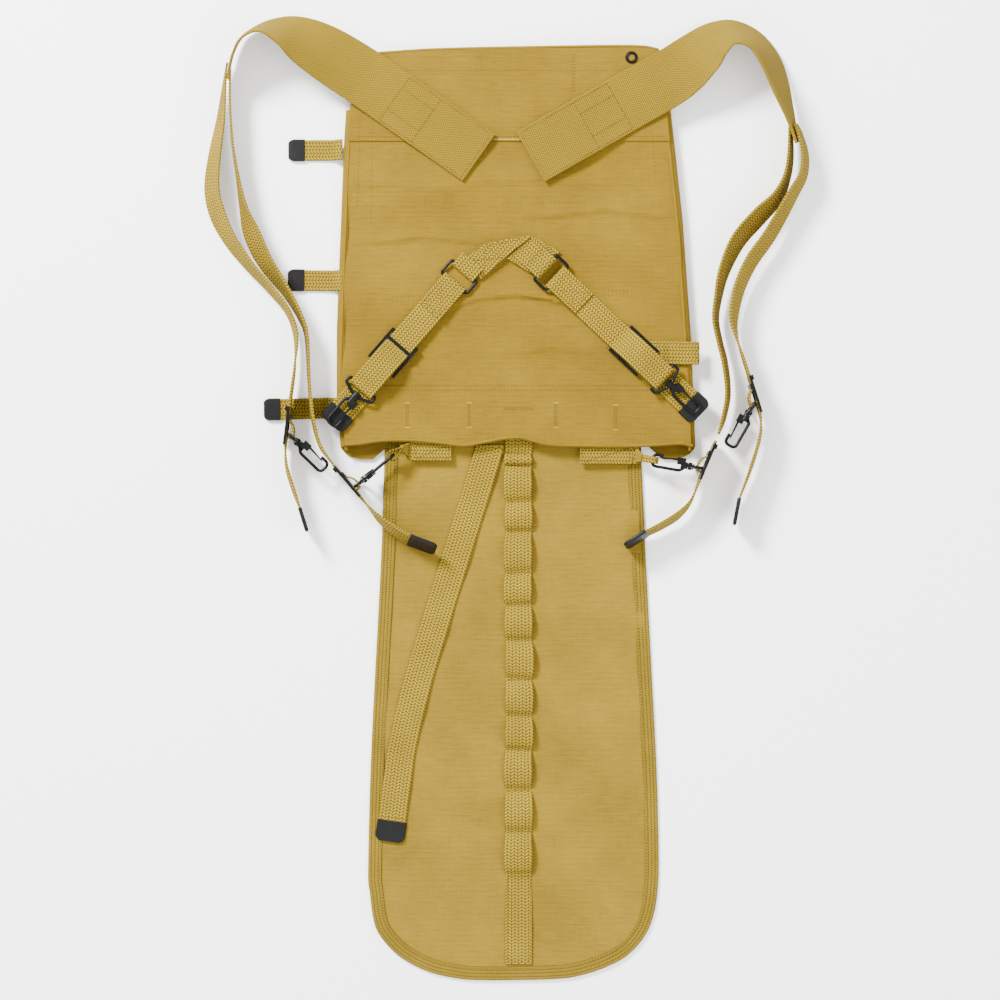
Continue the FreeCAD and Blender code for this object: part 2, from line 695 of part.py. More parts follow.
def make_hook(label, frame):
    """Snap hook: swivel post with its head, a flat shank with two gate cheeks, and the bent wire."""
    length, half = size("hook_length"), size("hook_width") / 2
    wire, post = size("wire"), size("post")
    middle = half - wire
    head = Part.makeCylinder(2.7, 1.4, Vector(-3.6, 0, 0), Vector(1, 0, 0))
    stem = Part.makeCylinder(post, 7.0, Vector(-2.4, 0, 0), Vector(1, 0, 0))
    shank = Part.makeCylinder(3.3, 6.5, Vector(2.2, 0, 0), Vector(1, 0, 0))
    bent = wire_form([(4.0, -1.2, 0), (9.0, -middle, 0), (length - wire, -middle, 0),
                      (length - wire, middle, 0),
                      (length - 11.0, middle, 0)], 4.0, wire)
    shape = head.fuse([stem, shank, bent])
    for side in (1, -1):
        low = 1.75 if side > 0 else -1.75 - 1.1
        cheek = Part.makeBox(8.0, 6.6, 1.1, Vector(4.5, 0.0, low))
        shape = shape.fuse(cheek)
    pin = Part.makeCylinder(size("gate_pin"), 5.7, Vector(GATE_PIVOT, GATE_OFFSET, -2.85), Vector(0, 0, 1))
    knuckle_room = Part.makeCylinder(3.0, 3.5, Vector(GATE_PIVOT, GATE_OFFSET, -1.75), Vector(0, 0, 1))
    shape = shape.cut(knuckle_room).fuse(pin)
    placed(label, shape.removeSplitter(), frame)


def make_gate(label, frame):
    """Sprung gate: a knuckle on the pin and a tongue that closes on the inside of the hook's nose."""
    half, wire = size("hook_width") / 2, size("wire")
    thick = size("gate_thick")
    knuckle = Part.makeCylinder(2.1, 3.0, Vector(GATE_PIVOT, GATE_OFFSET, -1.5), Vector(0, 0, 1))
    nose = half - 2 * wire - 0.25
    reach = size("hook_length") - 8.0
    outline = [Vector(GATE_PIVOT, GATE_OFFSET - 1.0, -1.5), Vector(reach, nose - thick, -1.5),
               Vector(reach, nose, -1.5), Vector(GATE_PIVOT, GATE_OFFSET + 1.2, -1.5)]
    tongue = Part.Face(Part.makePolygon(outline + [outline[0]])).extrude(Vector(0, 0, 3.0))
    bore_radius = size("gate_pin") + size("post_clearance")
    bore = Part.makeCylinder(bore_radius, 4, Vector(GATE_PIVOT, GATE_OFFSET, -2),
                             Vector(0, 0, 1))
    placed(label, knuckle.fuse(tongue).cut(bore).removeSplitter(), frame)


def hook_frame(ring, roll):
    """A hook's frame from its ring's: moved to the collar and rolled about the swivel."""
    at_collar = FreeCAD.Placement(Vector(size("ring_depth"), 0, 0), FreeCAD.Rotation(Vector(1, 0, 0), roll))
    return ring.multiply(at_collar)


def suspender_ring_frame(name):
    adjuster = adjuster_frame(name)
    bar = adjuster.multVec(Vector(BAR_PLACE, 0, size("bar_rise")))
    across = adjuster.Rotation.multVec(Vector(0, 1, 0))
    way = Vector(*HOOK_WAY[name], 0).normalize()
    return local_frame((bar.x, bar.y, bar.z), (way.x, way.y, 0), tuple(way.cross(across)))


RING_FRAMES = {}
HOOK_FRAMES = {}


def make_hardware():
    for name in ADJUSTER_PLACE:
        make_adjuster(f"{name}_adjuster", adjuster_frame(name))
        RING_FRAMES[name] = suspender_ring_frame(name)
        HOOK_FRAMES[name] = hook_frame(RING_FRAMES[name], HOOK_ROLL[name])
    for side in ("left", "right"):
        name = f"{side}_rear"
        make_adjuster(f"{name}_adjuster", rear_frame(side, REAR_ADJUSTER[side]))
        RING_FRAMES[name] = rear_frame(side, REAR_BAR[side], size("rear_bar_rise"))
        HOOK_FRAMES[name] = hook_frame(RING_FRAMES[name], 0)
    for name, frame in RING_FRAMES.items():
        make_ring(f"{name}_ring", frame)
        make_hook(f"{name}_hook", HOOK_FRAMES[name])
        make_gate(f"{name}_gate", HOOK_FRAMES[name])


# ---------------------------------------------------------------- sewn tabs

TAB_BLOCKS = {"left_inner": (-88.0, 35.0, -52.0), "right_inner": (69.0, 32.0, 118.0)}
TAB_FOOT = {"left_inner": -88.0, "right_inner": 118.0}
LOOP_HALF = 3.2
LOOP_LEGS = 9.0
KEEPER = (128.0, 125.0, 180.0, 147.0)


def loop_reach():
    """Middle of a tab's loop, measured along the hook it holds."""
    return size("hook_length") - size("wire")


def tab_loop(name):
    """The tab's open end: a drop-shaped loop of webbing round the end of the hook."""
    inside, ply = size("loop_inside"), size("tab_thick") / 2
    middle = loop_reach()
    outer = [Vector(middle + LOOP_LEGS, -LOOP_HALF, ply)]
    inner = [Vector(middle + LOOP_LEGS - 2.5, -LOOP_HALF, 0)]
    for degrees in range(90, 271, 30):
        angle = math.radians(degrees)
        for line, radius in ((outer, inside + ply), (inner, inside)):
            line.append(Vector(middle + radius * math.cos(angle), -LOOP_HALF, radius * math.sin(angle)))
    outer.append(Vector(middle + LOOP_LEGS, -LOOP_HALF, -ply))
    drop = Part.Face(Part.makePolygon(outer + [outer[0]]))
    room = Part.Face(Part.makePolygon(inner + [inner[0]]))
    shape = drop.cut(room).extrude(Vector(0, 2 * LOOP_HALF, 0))
    shape.Placement = HOOK_FRAMES[name]
    return shape


def tab_rise(name, block):
    """The tab's free part, narrowing from the sewn block up to the loop."""
    x_low, y_low, x_high = block
    x = TAB_FOOT[name]
    low, high = size("tab_level"), size("tab_level") + size("tab_thick")
    y_high = y_low + size("tab_width") - 6.0
    foot = [Vector(x, y_low, low), Vector(x, y_high, low), Vector(x, y_high, high), Vector(x, y_low, high)]
    frame = HOOK_FRAMES[name]
    half = size("tab_thick") / 2
    upright = abs(frame.Rotation.multVec(Vector(0, 1, 0)).z) > 0.5
    reach = loop_reach() + LOOP_LEGS
    corners = [(-1, -1), (1, -1), (1, 1), (-1, 1)]
    head = []
    for across, up in corners:
        if upright:
            point = Vector(reach, up * LOOP_HALF, across * half)
        else:
            point = Vector(reach, across * LOOP_HALF, up * half)
        head.append(frame.multVec(point))
    if head[0].y > head[1].y:
        head = [head[1], head[0], head[3], head[2]]
    if head[0].z > head[2].z:
        head = [head[3], head[2], head[1], head[0]]
    ends = [Part.makePolygon(points + [points[0]]) for points in (foot, head)]
    return Part.makeLoft(ends, True, True)


def make_tabs():
    pieces = []
    for name, (x_low, y_low, x_high) in TAB_BLOCKS.items():
        block = Part.makeBox(x_high - x_low, size("tab_width"), size("tab_thick"),
                             Vector(x_low, y_low, size("tab_level")))
        pieces.append(block.fuse([tab_rise(name, TAB_BLOCKS[name]), tab_loop(name)]).removeSplitter())
    x_low, y_low, x_high, y_high = KEEPER
    pieces.append(Part.makeBox(x_high - x_low, y_high - y_low, size("web_thick"),
                               Vector(x_low, y_low, size("layer_level"))))
    placed("webbing_tabs", Part.makeCompound(pieces))


# ---------------------------------------------------------------- build, check, write

make_canvas()
make_eyelet()
make_wings()
make_flap()
make_loop_webbing()
make_coupling_strap()
make_binding_straps()
make_shoulder_webbing()
make_suspender_straps()
make_yoke()
for side in ("left", "right"):
    make_yoke_ring(side)
    make_rear_strap(side)
make_hardware()
make_tabs()
doc.recompute()

sub_parts = [o for o in doc.Objects if o.TypeId in ("PartDesign::Body", "Part::Feature")]
for thing in doc.Objects:
    if {"Invalid", "Error"} & set(thing.State):
        raise RuntimeError(f"{thing.Label} failed: {thing.State}")
os.makedirs("parts", exist_ok=True)
for part in sub_parts:
    shape = part.Shape
    if shape.isNull() or not shape.isValid():
        raise RuntimeError(f"{part.Label} has no valid shape")
    shape.exportStep(f"parts/{part.Label}.step")
print(len(sub_parts), "sub-parts written")
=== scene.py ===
"""Looks for the canvas haversack: cloth, webbing, stitching and finishes around the fixed frame."""

import math
import random

import bpy
import numpy as np
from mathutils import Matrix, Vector


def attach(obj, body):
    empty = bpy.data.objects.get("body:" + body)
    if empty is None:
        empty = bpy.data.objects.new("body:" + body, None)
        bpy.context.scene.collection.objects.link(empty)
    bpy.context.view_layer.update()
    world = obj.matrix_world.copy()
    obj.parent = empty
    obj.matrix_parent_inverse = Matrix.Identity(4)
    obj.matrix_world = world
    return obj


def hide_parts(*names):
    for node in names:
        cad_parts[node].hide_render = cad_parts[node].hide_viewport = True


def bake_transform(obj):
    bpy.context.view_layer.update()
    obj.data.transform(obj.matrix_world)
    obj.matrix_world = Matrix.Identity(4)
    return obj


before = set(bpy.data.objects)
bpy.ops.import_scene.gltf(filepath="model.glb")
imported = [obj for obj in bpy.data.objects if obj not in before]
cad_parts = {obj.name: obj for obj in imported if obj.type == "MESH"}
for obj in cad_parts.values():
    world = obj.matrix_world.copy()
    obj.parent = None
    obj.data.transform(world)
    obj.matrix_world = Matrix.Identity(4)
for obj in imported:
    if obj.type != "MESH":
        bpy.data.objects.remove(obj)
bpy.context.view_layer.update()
random.seed(7)

MM = 0.001
UP = np.array([0.0, 0.0, 1.0])
CLOTH_GLOSS = 0.05
METAL_GLOSS = 0.1

# Camera: its place over the object, and the width of floor that it sees, in metres.
EYE = (-0.0061, -0.0014, 3.4)
VIEW_WIDTH = 0.94
SENSOR = 36.0
FLOOR_HALF = 4.0
FLOOR_LEVEL = -0.0006
# Lamps: place, size and power.
LAMPS = {"key": ((-1.5, 1.9, 1.9), 0.8, 400.0), "fill": ((1.6, -0.6, 2.0), 2.2, 52.0),
         "front": ((-0.4, -1.8, 1.8), 2.0, 30.0)}
WORLD_LIGHT = 1.85

# Webbing, in millimetres.
WIDE = 54.0
NARROW = 25.4
WIDE_THICK = 2.6
NARROW_THICK = 2.1
REAR_THICK = 1.9
DOUBLED_THICK = 1.8
BAR_LOOP = 3.3                # radius of a strap's turn round its ring bar


# ---------------------------------------------------------------- camera, light, floor

def make_stage():
    camera = bpy.data.cameras.new("camera")
    camera.sensor_width = SENSOR
    camera.lens = SENSOR * EYE[2] / VIEW_WIDTH
    eye = bpy.data.objects.new("camera", camera)
    eye.location = EYE
    bpy.context.scene.collection.objects.link(eye)
    bpy.context.scene.camera = eye

    plane = bpy.data.meshes.new("floor")
    corners = ((-1, -1), (1, -1), (1, 1), (-1, 1))
    plane.from_pydata([(x * FLOOR_HALF, y * FLOOR_HALF, FLOOR_LEVEL) for x, y in corners], [], [(0, 1, 2, 3)])
    floor = bpy.data.objects.new("floor", plane)
    bpy.context.scene.collection.objects.link(floor)
    plane.materials.append(FLOOR)

    for name, (place, size, power) in LAMPS.items():
        lamp = bpy.data.lights.new(name, "AREA")
        lamp.shape = "DISK"
        lamp.size = size
        lamp.energy = power
        holder = bpy.data.objects.new(name, lamp)
        holder.location = place
        holder.rotation_euler = (Vector((0, 0, 0)) - Vector(place)).to_track_quat("-Z", "Y").to_euler()
        bpy.context.scene.collection.objects.link(holder)

    world = bpy.data.worlds.new("studio")
    bpy.context.scene.world = world
    world.use_nodes = True
    back = world.node_tree.nodes["Background"]
    back.inputs["Color"].default_value = (1.0, 1.0, 1.0, 1.0)
    back.inputs["Strength"].default_value = WORLD_LIGHT


# ---------------------------------------------------------------- materials

class Nodes:
    """Short ways to add shader nodes to one material."""

    def __init__(self, name):
        self.material = bpy.data.materials.new(name)
        self.material.use_nodes = True
        self.tree = self.material.node_tree
        self.shader = self.tree.nodes["Principled BSDF"]

    def add(self, kind, inputs=(), **settings):
        node = self.tree.nodes.new(kind)
        for key, value in settings.items():
            setattr(node, key, value)
        for slot, value in dict(inputs).items():
            self.put(node, slot, value)
        return node

    def put(self, node, slot, value):
        if isinstance(value, bpy.types.NodeSocket):
            self.tree.links.new(value, node.inputs[slot])
        else:
            node.inputs[slot].default_value = value

    def maths(self, operation, first, second=0.0):
        node = self.add("ShaderNodeMath", {0: first, 1: second}, operation=operation)
        return node.outputs[0]

    def noise(self, place, scale, detail=3.0, rough=0.55):
        node = self.add("ShaderNodeTexNoise", {"Vector": place, "Scale": scale, "Detail": detail,
                                               "Roughness": rough})
        return node.outputs["Fac"]

    def mix(self, share, first, second):
        node = self.add("ShaderNodeMix", data_type="RGBA")
        self.put(node, 0, share)
        self.put(node, 6, first)
        self.put(node, 7, second)
        return node.outputs[2]

    def ramp(self, value, low, high, out_low=0.0, out_high=1.0):
        node = self.add("ShaderNodeMapRange", {0: value, 1: low, 2: high, 3: out_low, 4: out_high})
        return node.outputs[0]

    def scaled(self, place, scale):
        node = self.add("ShaderNodeMapping", {"Vector": place, "Scale": scale})
        return node.outputs[0]

    def bump(self, height, distance, strength=1.0):
        node = self.add("ShaderNodeBump", {"Height": height, "Distance": distance, "Strength": strength})
        return node.outputs[0]

    def finish(self, colour, roughness, normal=None, gloss=0.5):
        self.put(self.shader, "Base Color", colour)
        self.put(self.shader, "Roughness", roughness)
        self.shader.inputs["Specular IOR Level"].default_value = gloss
        if normal is not None:
            self.put(self.shader, "Normal", normal)
        return self.material


def shade(colour, factor):
    return tuple(min(1.0, c * factor) for c in colour) + (1.0,)


def canvas_material(name, colour):
    """Cotton duck: fine ribs across, slubs and faint wear."""
    n = Nodes(name)
    uv = n.add("ShaderNodeUVMap").outputs[0]
    parts = n.add("ShaderNodeSeparateXYZ", {0: uv})
    rib = n.maths("SINE", n.maths("MULTIPLY", parts.outputs[1], 2 * math.pi / 0.00115))
    warp = n.maths("SINE", n.maths("MULTIPLY", parts.outputs[0], 2 * math.pi / 0.0009))
    weave = n.maths("ADD", n.maths("MULTIPLY", rib, 0.7), n.maths("MULTIPLY", warp, 0.3))
    slub = n.noise(n.scaled(uv, (60.0, 900.0, 1.0)), 1.0, 2.0)
    streak = n.noise(n.scaled(uv, (900.0, 45.0, 1.0)), 1.0, 2.0)
    cloud = n.noise(uv, 13.0, 4.0)
    tone = n.maths("ADD", n.maths("MULTIPLY", cloud, 0.5),
                   n.maths("ADD", n.maths("MULTIPLY", slub, 0.32), n.maths("MULTIPLY", streak, 0.18)))
    base = n.mix(n.ramp(tone, 0.36, 0.66), shade(colour, 0.7), shade(colour, 1.16))
    base = n.mix(n.ramp(weave, -1.0, 1.0, 0.0, 0.16), base, shade(colour, 0.55))
    height = n.maths("ADD", n.maths("MULTIPLY", weave, 0.5), n.maths("MULTIPLY", slub, 1.2))
    return n.finish(base, n.ramp(cloud, 0.3, 0.7, 0.78, 0.9), n.bump(height, 0.0003, 1.0), CLOTH_GLOSS)


def herringbone_material(name, colour, column=0.0032, pitch=0.0030):
    """Coarse webbing: columns of slanting picks that turn back at each column."""
    n = Nodes(name)
    uv = n.add("ShaderNodeUVMap").outputs[0]
    parts = n.add("ShaderNodeSeparateXYZ", {0: uv})
    across = n.maths("DIVIDE", parts.outputs[1], column)
    fold = n.maths("PINGPONG", across, 1.0)
    phase = n.maths("ADD", n.maths("DIVIDE", parts.outputs[0], pitch), n.maths("MULTIPLY", fold, 0.75))
    pick = n.maths("ABSOLUTE", n.maths("SINE", n.maths("MULTIPLY", phase, math.pi)))
    ridge = n.maths("ABSOLUTE", n.maths("SINE", n.maths("MULTIPLY", across, math.pi)))
    weave = n.maths("MULTIPLY", n.maths("POWER", pick, 0.7), n.ramp(ridge, 0.0, 0.75, 0.35, 1.0))
    fuzz = n.noise(n.scaled(uv, (500.0, 900.0, 1.0)), 1.0, 3.0)
    cloud = n.noise(uv, 22.0, 3.0)
    base = n.mix(n.ramp(n.maths("ADD", cloud, n.maths("MULTIPLY", fuzz, 0.5)), 0.55, 0.95),
                 shade(colour, 0.86), shade(colour, 1.14))
    base = n.mix(n.ramp(weave, 0.1, 0.85, 1.0, 0.0), base, shade(colour, 0.16))
    height = n.maths("ADD", weave, n.maths("MULTIPLY", fuzz, 0.25))
    return n.finish(base, 0.85, n.bump(height, 0.0008, 1.0), CLOTH_GLOSS)


def twill_material(name, colour, cell=0.0026):
    """Finer, heavier webbing: small raised picks in staggered rows."""
    n = Nodes(name)
    uv = n.add("ShaderNodeUVMap").outputs[0]
    parts = n.add("ShaderNodeSeparateXYZ", {0: uv})
    along = n.maths("DIVIDE", parts.outputs[0], cell)
    across = n.maths("DIVIDE", parts.outputs[1], cell * 0.8)
    first = n.maths("SINE", n.maths("MULTIPLY", n.maths("ADD", along, across), math.pi))
    second = n.maths("SINE", n.maths("MULTIPLY", n.maths("SUBTRACT", along, across), math.pi))
    weave = n.maths("ABSOLUTE", n.maths("MULTIPLY", first, second))
    fuzz = n.noise(n.scaled(uv, (700.0, 900.0, 1.0)), 1.0, 3.0)
    cloud = n.noise(uv, 14.0, 3.0)
    base = n.mix(n.ramp(n.maths("ADD", cloud, n.maths("MULTIPLY", fuzz, 0.4)), 0.5, 0.9),
                 shade(colour, 0.9), shade(colour, 1.1))
    base = n.mix(n.ramp(weave, 0.05, 0.5, 1.0, 0.0), base, shade(colour, 0.28))
    height = n.maths("ADD", weave, n.maths("MULTIPLY", fuzz, 0.2))
    return n.finish(base, 0.85, n.bump(height, 0.0006, 1.0), CLOTH_GLOSS)


def thread_material(name, colour):
    n = Nodes(name)
    place = n.add("ShaderNodeTexCoord").outputs["Object"]
    grain = n.noise(place, 900.0, 2.0)
    return n.finish(n.mix(grain, shade(colour, 0.75), shade(colour, 1.25)), 0.75, gloss=CLOTH_GLOSS)


def enamel_material(name, colour, rough):
    """Brushed-on black enamel, worn a little at random."""
    n = Nodes(name)
    place = n.add("ShaderNodeTexCoord").outputs["Object"]
    cloud = n.noise(place, 160.0, 4.0)
    fine = n.noise(place, 1400.0, 2.0)
    worn = n.ramp(cloud, 0.64, 0.8, 0.0, 0.5)
    base = n.mix(worn, shade(colour, 1.0), shade(colour, 2.6))
    surface = n.ramp(cloud, 0.3, 0.7, rough - 0.08, rough + 0.12)
    grain = n.maths("ADD", fine, n.maths("MULTIPLY", cloud, 1.5))
    return n.finish(base, surface, n.bump(grain, 0.00012, 0.6), METAL_GLOSS)


def floor_material():
    n = Nodes("pale_floor")
    place = n.add("ShaderNodeTexCoord").outputs["Object"]
    base = n.mix(n.noise(place, 3.0, 2.0), (0.97, 0.97, 0.97, 1.0), (0.985, 0.985, 0.985, 1.0))
    return n.finish(base, 0.9)


CANVAS = canvas_material("canvas", (0.160, 0.098, 0.0080))
FLAP_CANVAS = canvas_material("flap_canvas", (0.186, 0.119, 0.0120))
TAPE = herringbone_material("binding_tape", (0.222, 0.147, 0.0140), 0.0032, 0.0016)
WEBBING = herringbone_material("webbing", (0.250, 0.168, 0.0160))
WIDE_WEBBING = twill_material("wide_webbing", (0.222, 0.146, 0.0120))
THREAD = thread_material("thread", (0.085, 0.044, 0.007))
# Pale thread for the buttonhole bars; the same colour also paints the highlight on the top layer's seam.
PALE_THREAD_AND_HIGHLIGHT = thread_material("pale_thread_and_highlight", (0.36, 0.24, 0.05))
ENAMEL = enamel_material("black_enamel", (0.0035, 0.0035, 0.0036), 0.3)
TIP_METAL = enamel_material("tip_metal", (0.006, 0.0058, 0.0058), 0.42)
FLOOR = floor_material()


# ---------------------------------------------------------------- building blocks

def unit(rows):
    return rows / np.maximum(np.linalg.norm(rows, axis=-1, keepdims=True), 1e-9)


def add_mesh(name, points, faces, uvs, material, sharp=0.7):
    """A mesh object from points in millimetres, with one UV in metres for each point."""
    mesh = bpy.data.meshes.new(name)
    mesh.from_pydata([tuple(p) for p in np.asarray(points, float) * MM], [], faces)
    layer = mesh.uv_layers.new(name="UVMap")
    index = np.zeros(len(mesh.loops), int)
    mesh.loops.foreach_get("vertex_index", index)
    layer.data.foreach_set("uv", np.asarray(uvs, float)[index].ravel())
    mesh.polygons.foreach_set("use_smooth", [True] * len(mesh.polygons))
    mesh.materials.append(material)
    mesh.update()
    mesh.set_sharp_from_angle(angle=sharp)
    piece = bpy.data.objects.new(name, mesh)
    bpy.context.scene.collection.objects.link(piece)
    return piece


def smooth(points, step):
    """Evenly spaced rows along a smooth line through points. The first three columns are the place."""
    rows = np.array(points, float)
    rows = np.vstack([2 * rows[0] - rows[1], rows, 2 * rows[-1] - rows[-2]])
    fine = []
    for a, b, c, d in zip(rows, rows[1:], rows[2:], rows[3:]):
        for t in np.linspace(0, 1, 20, endpoint=False):
            fine.append(0.5 * (2 * b + (c - a) * t + (2 * a - 5 * b + 4 * c - d) * t * t
                               + (3 * b - a - 3 * c + d) * t ** 3))
    fine = np.array(fine + [rows[-2]])
    run = np.concatenate([[0], np.cumsum(np.linalg.norm(np.diff(fine[:, :3], axis=0), axis=1))])
    places = np.linspace(0, run[-1], max(3, int(round(run[-1] / step)) + 1))
    return np.column_stack([np.interp(places, run, column) for column in fine.T]), places


def strap(name, path, width, thick, material, across=None, step=2.0, rounding=0.7):
    """Webbing along a path of (x, y, z, lean, share of width). Lean 0 stands on edge, 90 lies flat."""
    rows = [tuple(row) + (90.0, 1.0)[len(row) - 3:] for row in path]
    line, run = smooth(rows, step)
    place = line[:, :3]
    along = unit(np.gradient(place, axis=0))
    if across is None:
        side = unit(np.column_stack([-along[:, 1], along[:, 0], np.zeros(len(along))]))
        lean = np.radians(line[:, 3])[:, None]
        reach = side * np.sin(lean) + UP * np.cos(lean)
    else:
        reach = np.tile(np.array(across, float), (len(along), 1))
    reach = unit(reach - along * (reach * along).sum(1)[:, None])
    face = np.cross(along, reach)
    half, deep = width / 2, thick / 2
    inner = half - rounding
    ring = [(-half, 0), (-inner, -deep), (-inner / 3, -deep), (inner / 3, -deep), (inner, -deep), (half, 0),
            (inner, deep), (inner / 3, deep), (-inner / 3, deep), (-inner, deep)]
    points, uvs, faces = [], [], []
    for centre, wide, out, far, share in zip(place, reach, face, run, line[:, 4]):
        for w, t in ring:
            points.append(centre + wide * w * share + out * t)
            uvs.append((far * MM, (w + half) * MM))
    count = len(ring)
    for row in range(len(place) - 1):
        for k in range(count):
            a, b = row * count + k, row * count + (k + 1) % count
            faces.append((a, b, b + count, a + count))
    last = (len(place) - 1) * count
    faces.append(tuple(range(count))[::-1])
    faces.append(tuple(range(last, last + count)))
    return add_mesh(name, points, faces, uvs, material)


def cloth(name, grid, thick, material, uvs=None):
    """A closed sheet of one thickness, from rows of points on its upper face."""
    grid = np.array(grid, float)
    rows, columns = grid.shape[:2]
    normal = unit(np.cross(np.gradient(grid, axis=1), np.gradient(grid, axis=0)))
    points = np.concatenate([grid.reshape(-1, 3), (grid - normal * thick).reshape(-1, 3)])
    if uvs is None:
        uvs = grid[..., :2] * MM
    uvs = np.tile(np.asarray(uvs).reshape(-1, 2), (2, 1))
    at = np.arange(rows * columns).reshape(rows, columns)
    a, b, c, d = at[:-1, :-1].ravel(), at[:-1, 1:].ravel(), at[1:, 1:].ravel(), at[1:, :-1].ravel()
    top = np.column_stack([a, b, c, d])
    base = rows * columns
    faces = [tuple(f) for f in top] + [tuple(f[::-1] + base) for f in top]
    rim = list(at[0, :]) + list(at[1:, -1]) + list(at[-1, -2::-1]) + list(at[-2:0:-1, 0])
    for here, after in zip(rim, rim[1:] + rim[:1]):
        faces.append((int(after), int(here), int(here) + base, int(after) + base))
    return add_mesh(name, points, faces, uvs, material, 0.9)


def edge_x(points, y):
    points = sorted(points, key=lambda p: p[1])
    return np.interp(y, [p[1] for p in points], [p[0] for p in points])


def edge_y(points, x):
    points = sorted(points)
    return np.interp(x, [p[0] for p in points], [p[1] for p in points])


def patch(left, right, low, high, columns, rows, height):
    """Grid of points between four edges, at a height given by a function of x and y."""
    s, t = np.meshgrid(np.linspace(0, 1, columns), np.linspace(0, 1, rows))
    x = edge_x(left, np.full_like(s, 200.0)) * (1 - s) + edge_x(right, np.full_like(s, 200.0)) * s
    for _ in range(4):
        y = edge_y(low, x) * (1 - t) + edge_y(high, x) * t
        x = edge_x(left, y) * (1 - s) + edge_x(right, y) * s
    return np.stack([x, y, height(x, y)], axis=-1)


def ripple(x, y, seed, scale_x, scale_y, depth):
    """Soft irregular waves."""
    chance = random.Random(seed)
    total = 0.0
    for _ in range(7):
        kx = chance.uniform(0.4, 1.5) / scale_x * chance.choice((-1, 1))
        ky = chance.uniform(0.6, 1.6) / scale_y
        total = total + np.sin(x * kx + y * ky + chance.uniform(0, 6.28)) * chance.uniform(0.4, 1.0)
    return total * depth / 3.0


def fold(x, y, line, width, depth, tail=30.0):
    """A crease along a run of points: raised on its upper side, dropping at the line."""
    xs = [p[0] for p in line]
    level = np.interp(x, xs, [p[1] for p in line])
    ends = np.clip((x - xs[0]) / tail + 1, 0, 1) * np.clip((xs[-1] - x) / tail + 1, 0, 1)
    off = (y - level) / width
    shape = np.where(off > 0, np.exp(-off), -0.4 * np.exp(off * 1.6))
    return depth * ends * shape * np.minimum(np.abs(off) * 3, 1)


def bent(piece, start):
    [c * MM for c in start]
    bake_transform(piece)


def with_flap(piece):
    """Bakes the piece's placement into its mesh."""
    bent(piece, (5.5, 50.0, 1.5))


def done(piece, body=None, stands_for=()):
    if body:
        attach(piece, body)
    if stands_for:
        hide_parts(*stands_for)
    return piece


# One stitch: shares of its length and width, and a height; then its faces.
DASH_POINTS = ((-0.5, 0, -0.2), (-0.25, -0.5, 0.1), (-0.25, 0.5, 0.1), (0, 0, 0.42), (0.25, -0.5, 0.1),
               (0.25, 0.5, 0.1), (0.5, 0, -0.2))
DASH_FACES = ((0, 1, 3), (0, 3, 2), (1, 4, 3), (2, 3, 5), (4, 6, 3), (5, 3, 6), (0, 2, 1), (1, 2, 4),
              (2, 5, 4), (4, 5, 6))


def sew(name, lines, height, material, pitch=3.1, length=2.1, wide=0.75):
    """Stitches along runs of points, each a small rounded dash on the surface."""
    points, faces, uvs = [], [], []
    for line in lines:
        rows, run = smooth([(x, y, 0.0) for x, y in line], 1.0) if len(line) > 2 else (None, None)
        if rows is None:
            total = math.dist(line[0], line[1])
            run = np.array([0.0, total])
            rows = np.array([(*line[0], 0.0), (*line[1], 0.0)])
        for middle in np.arange(pitch / 2, run[-1], pitch):
            x, y = (np.interp(middle, run, rows[:, k]) for k in (0, 1))
            ahead = [np.interp(min(middle + 0.5, run[-1]), run, rows[:, k]) for k in (0, 1)]
            behind = [np.interp(max(middle - 0.5, 0), run, rows[:, k]) for k in (0, 1)]
            way = unit(np.array([ahead[0] - behind[0], ahead[1] - behind[1]]) + random.uniform(-0.04, 0.04))
            side = np.array([-way[1], way[0]])
            z = float(height(x, y))
            start = len(points)
            for u, v, w in DASH_POINTS:
                spot = np.array([x, y]) + way * u * length + side * v * wide
                points.append((spot[0], spot[1], z + w))
                uvs.append((0.0, 0.0))
            for tri in DASH_FACES:
                faces.append(tuple(start + k for k in tri))
    return add_mesh(name, points, faces, uvs, material, 1.2)


def tip(name, start, end, width, thick, stand=0.0):
    """A crimped metal tip: a thin cap round the webbing's end, rounded at its corners."""
    start, end = np.array(start, float), np.array(end, float)
    along = unit(end - start)
    length = np.linalg.norm(end - start)
    side = unit(np.array([-along[1], along[0], 0.0]))
    lean = math.radians(stand)
    reach = side * math.sin(lean) + UP * math.cos(lean)
    reach = unit(reach - along * (reach @ along))
    out = np.cross(along, reach)
    outline = []
    corner = min(5.0, length * 0.42)
    for far, share in ((-1.5, 1.0), (0.0, 1.02), (length - corner, 1.02), (length - corner * 0.45, 0.93),
                       (length - corner * 0.12, 0.8), (length, 0.66)):
        outline.append((far, share))
    ring = [(-1, 0), (-0.94, -1), (0, -1.15), (0.94, -1), (1, 0), (0.94, 1), (0, 1.15), (-0.94, 1)]
    points, uvs, faces = [], [], []
    for index, (far, share) in enumerate(outline):
        deep = thick / 2 * (1.0 if index < 4 else 0.72)
        for w, t in ring:
            spot = start + along * far + reach * w * width / 2 * share + out * t * deep
            points.append(spot)
            uvs.append((far * MM, w * width * MM / 2))
    count = len(ring)
    for row in range(len(outline) - 1):
        for k in range(count):
            a, b = row * count + k, row * count + (k + 1) % count
            faces.append((a, b, b + count, a + count))
    last = (len(outline) - 1) * count
    faces += [tuple(range(count))[::-1], tuple(range(last, last + count))]
    return add_mesh(name, points, faces, uvs, TIP_METAL, 0.8)


# ---------------------------------------------------------------- canvas

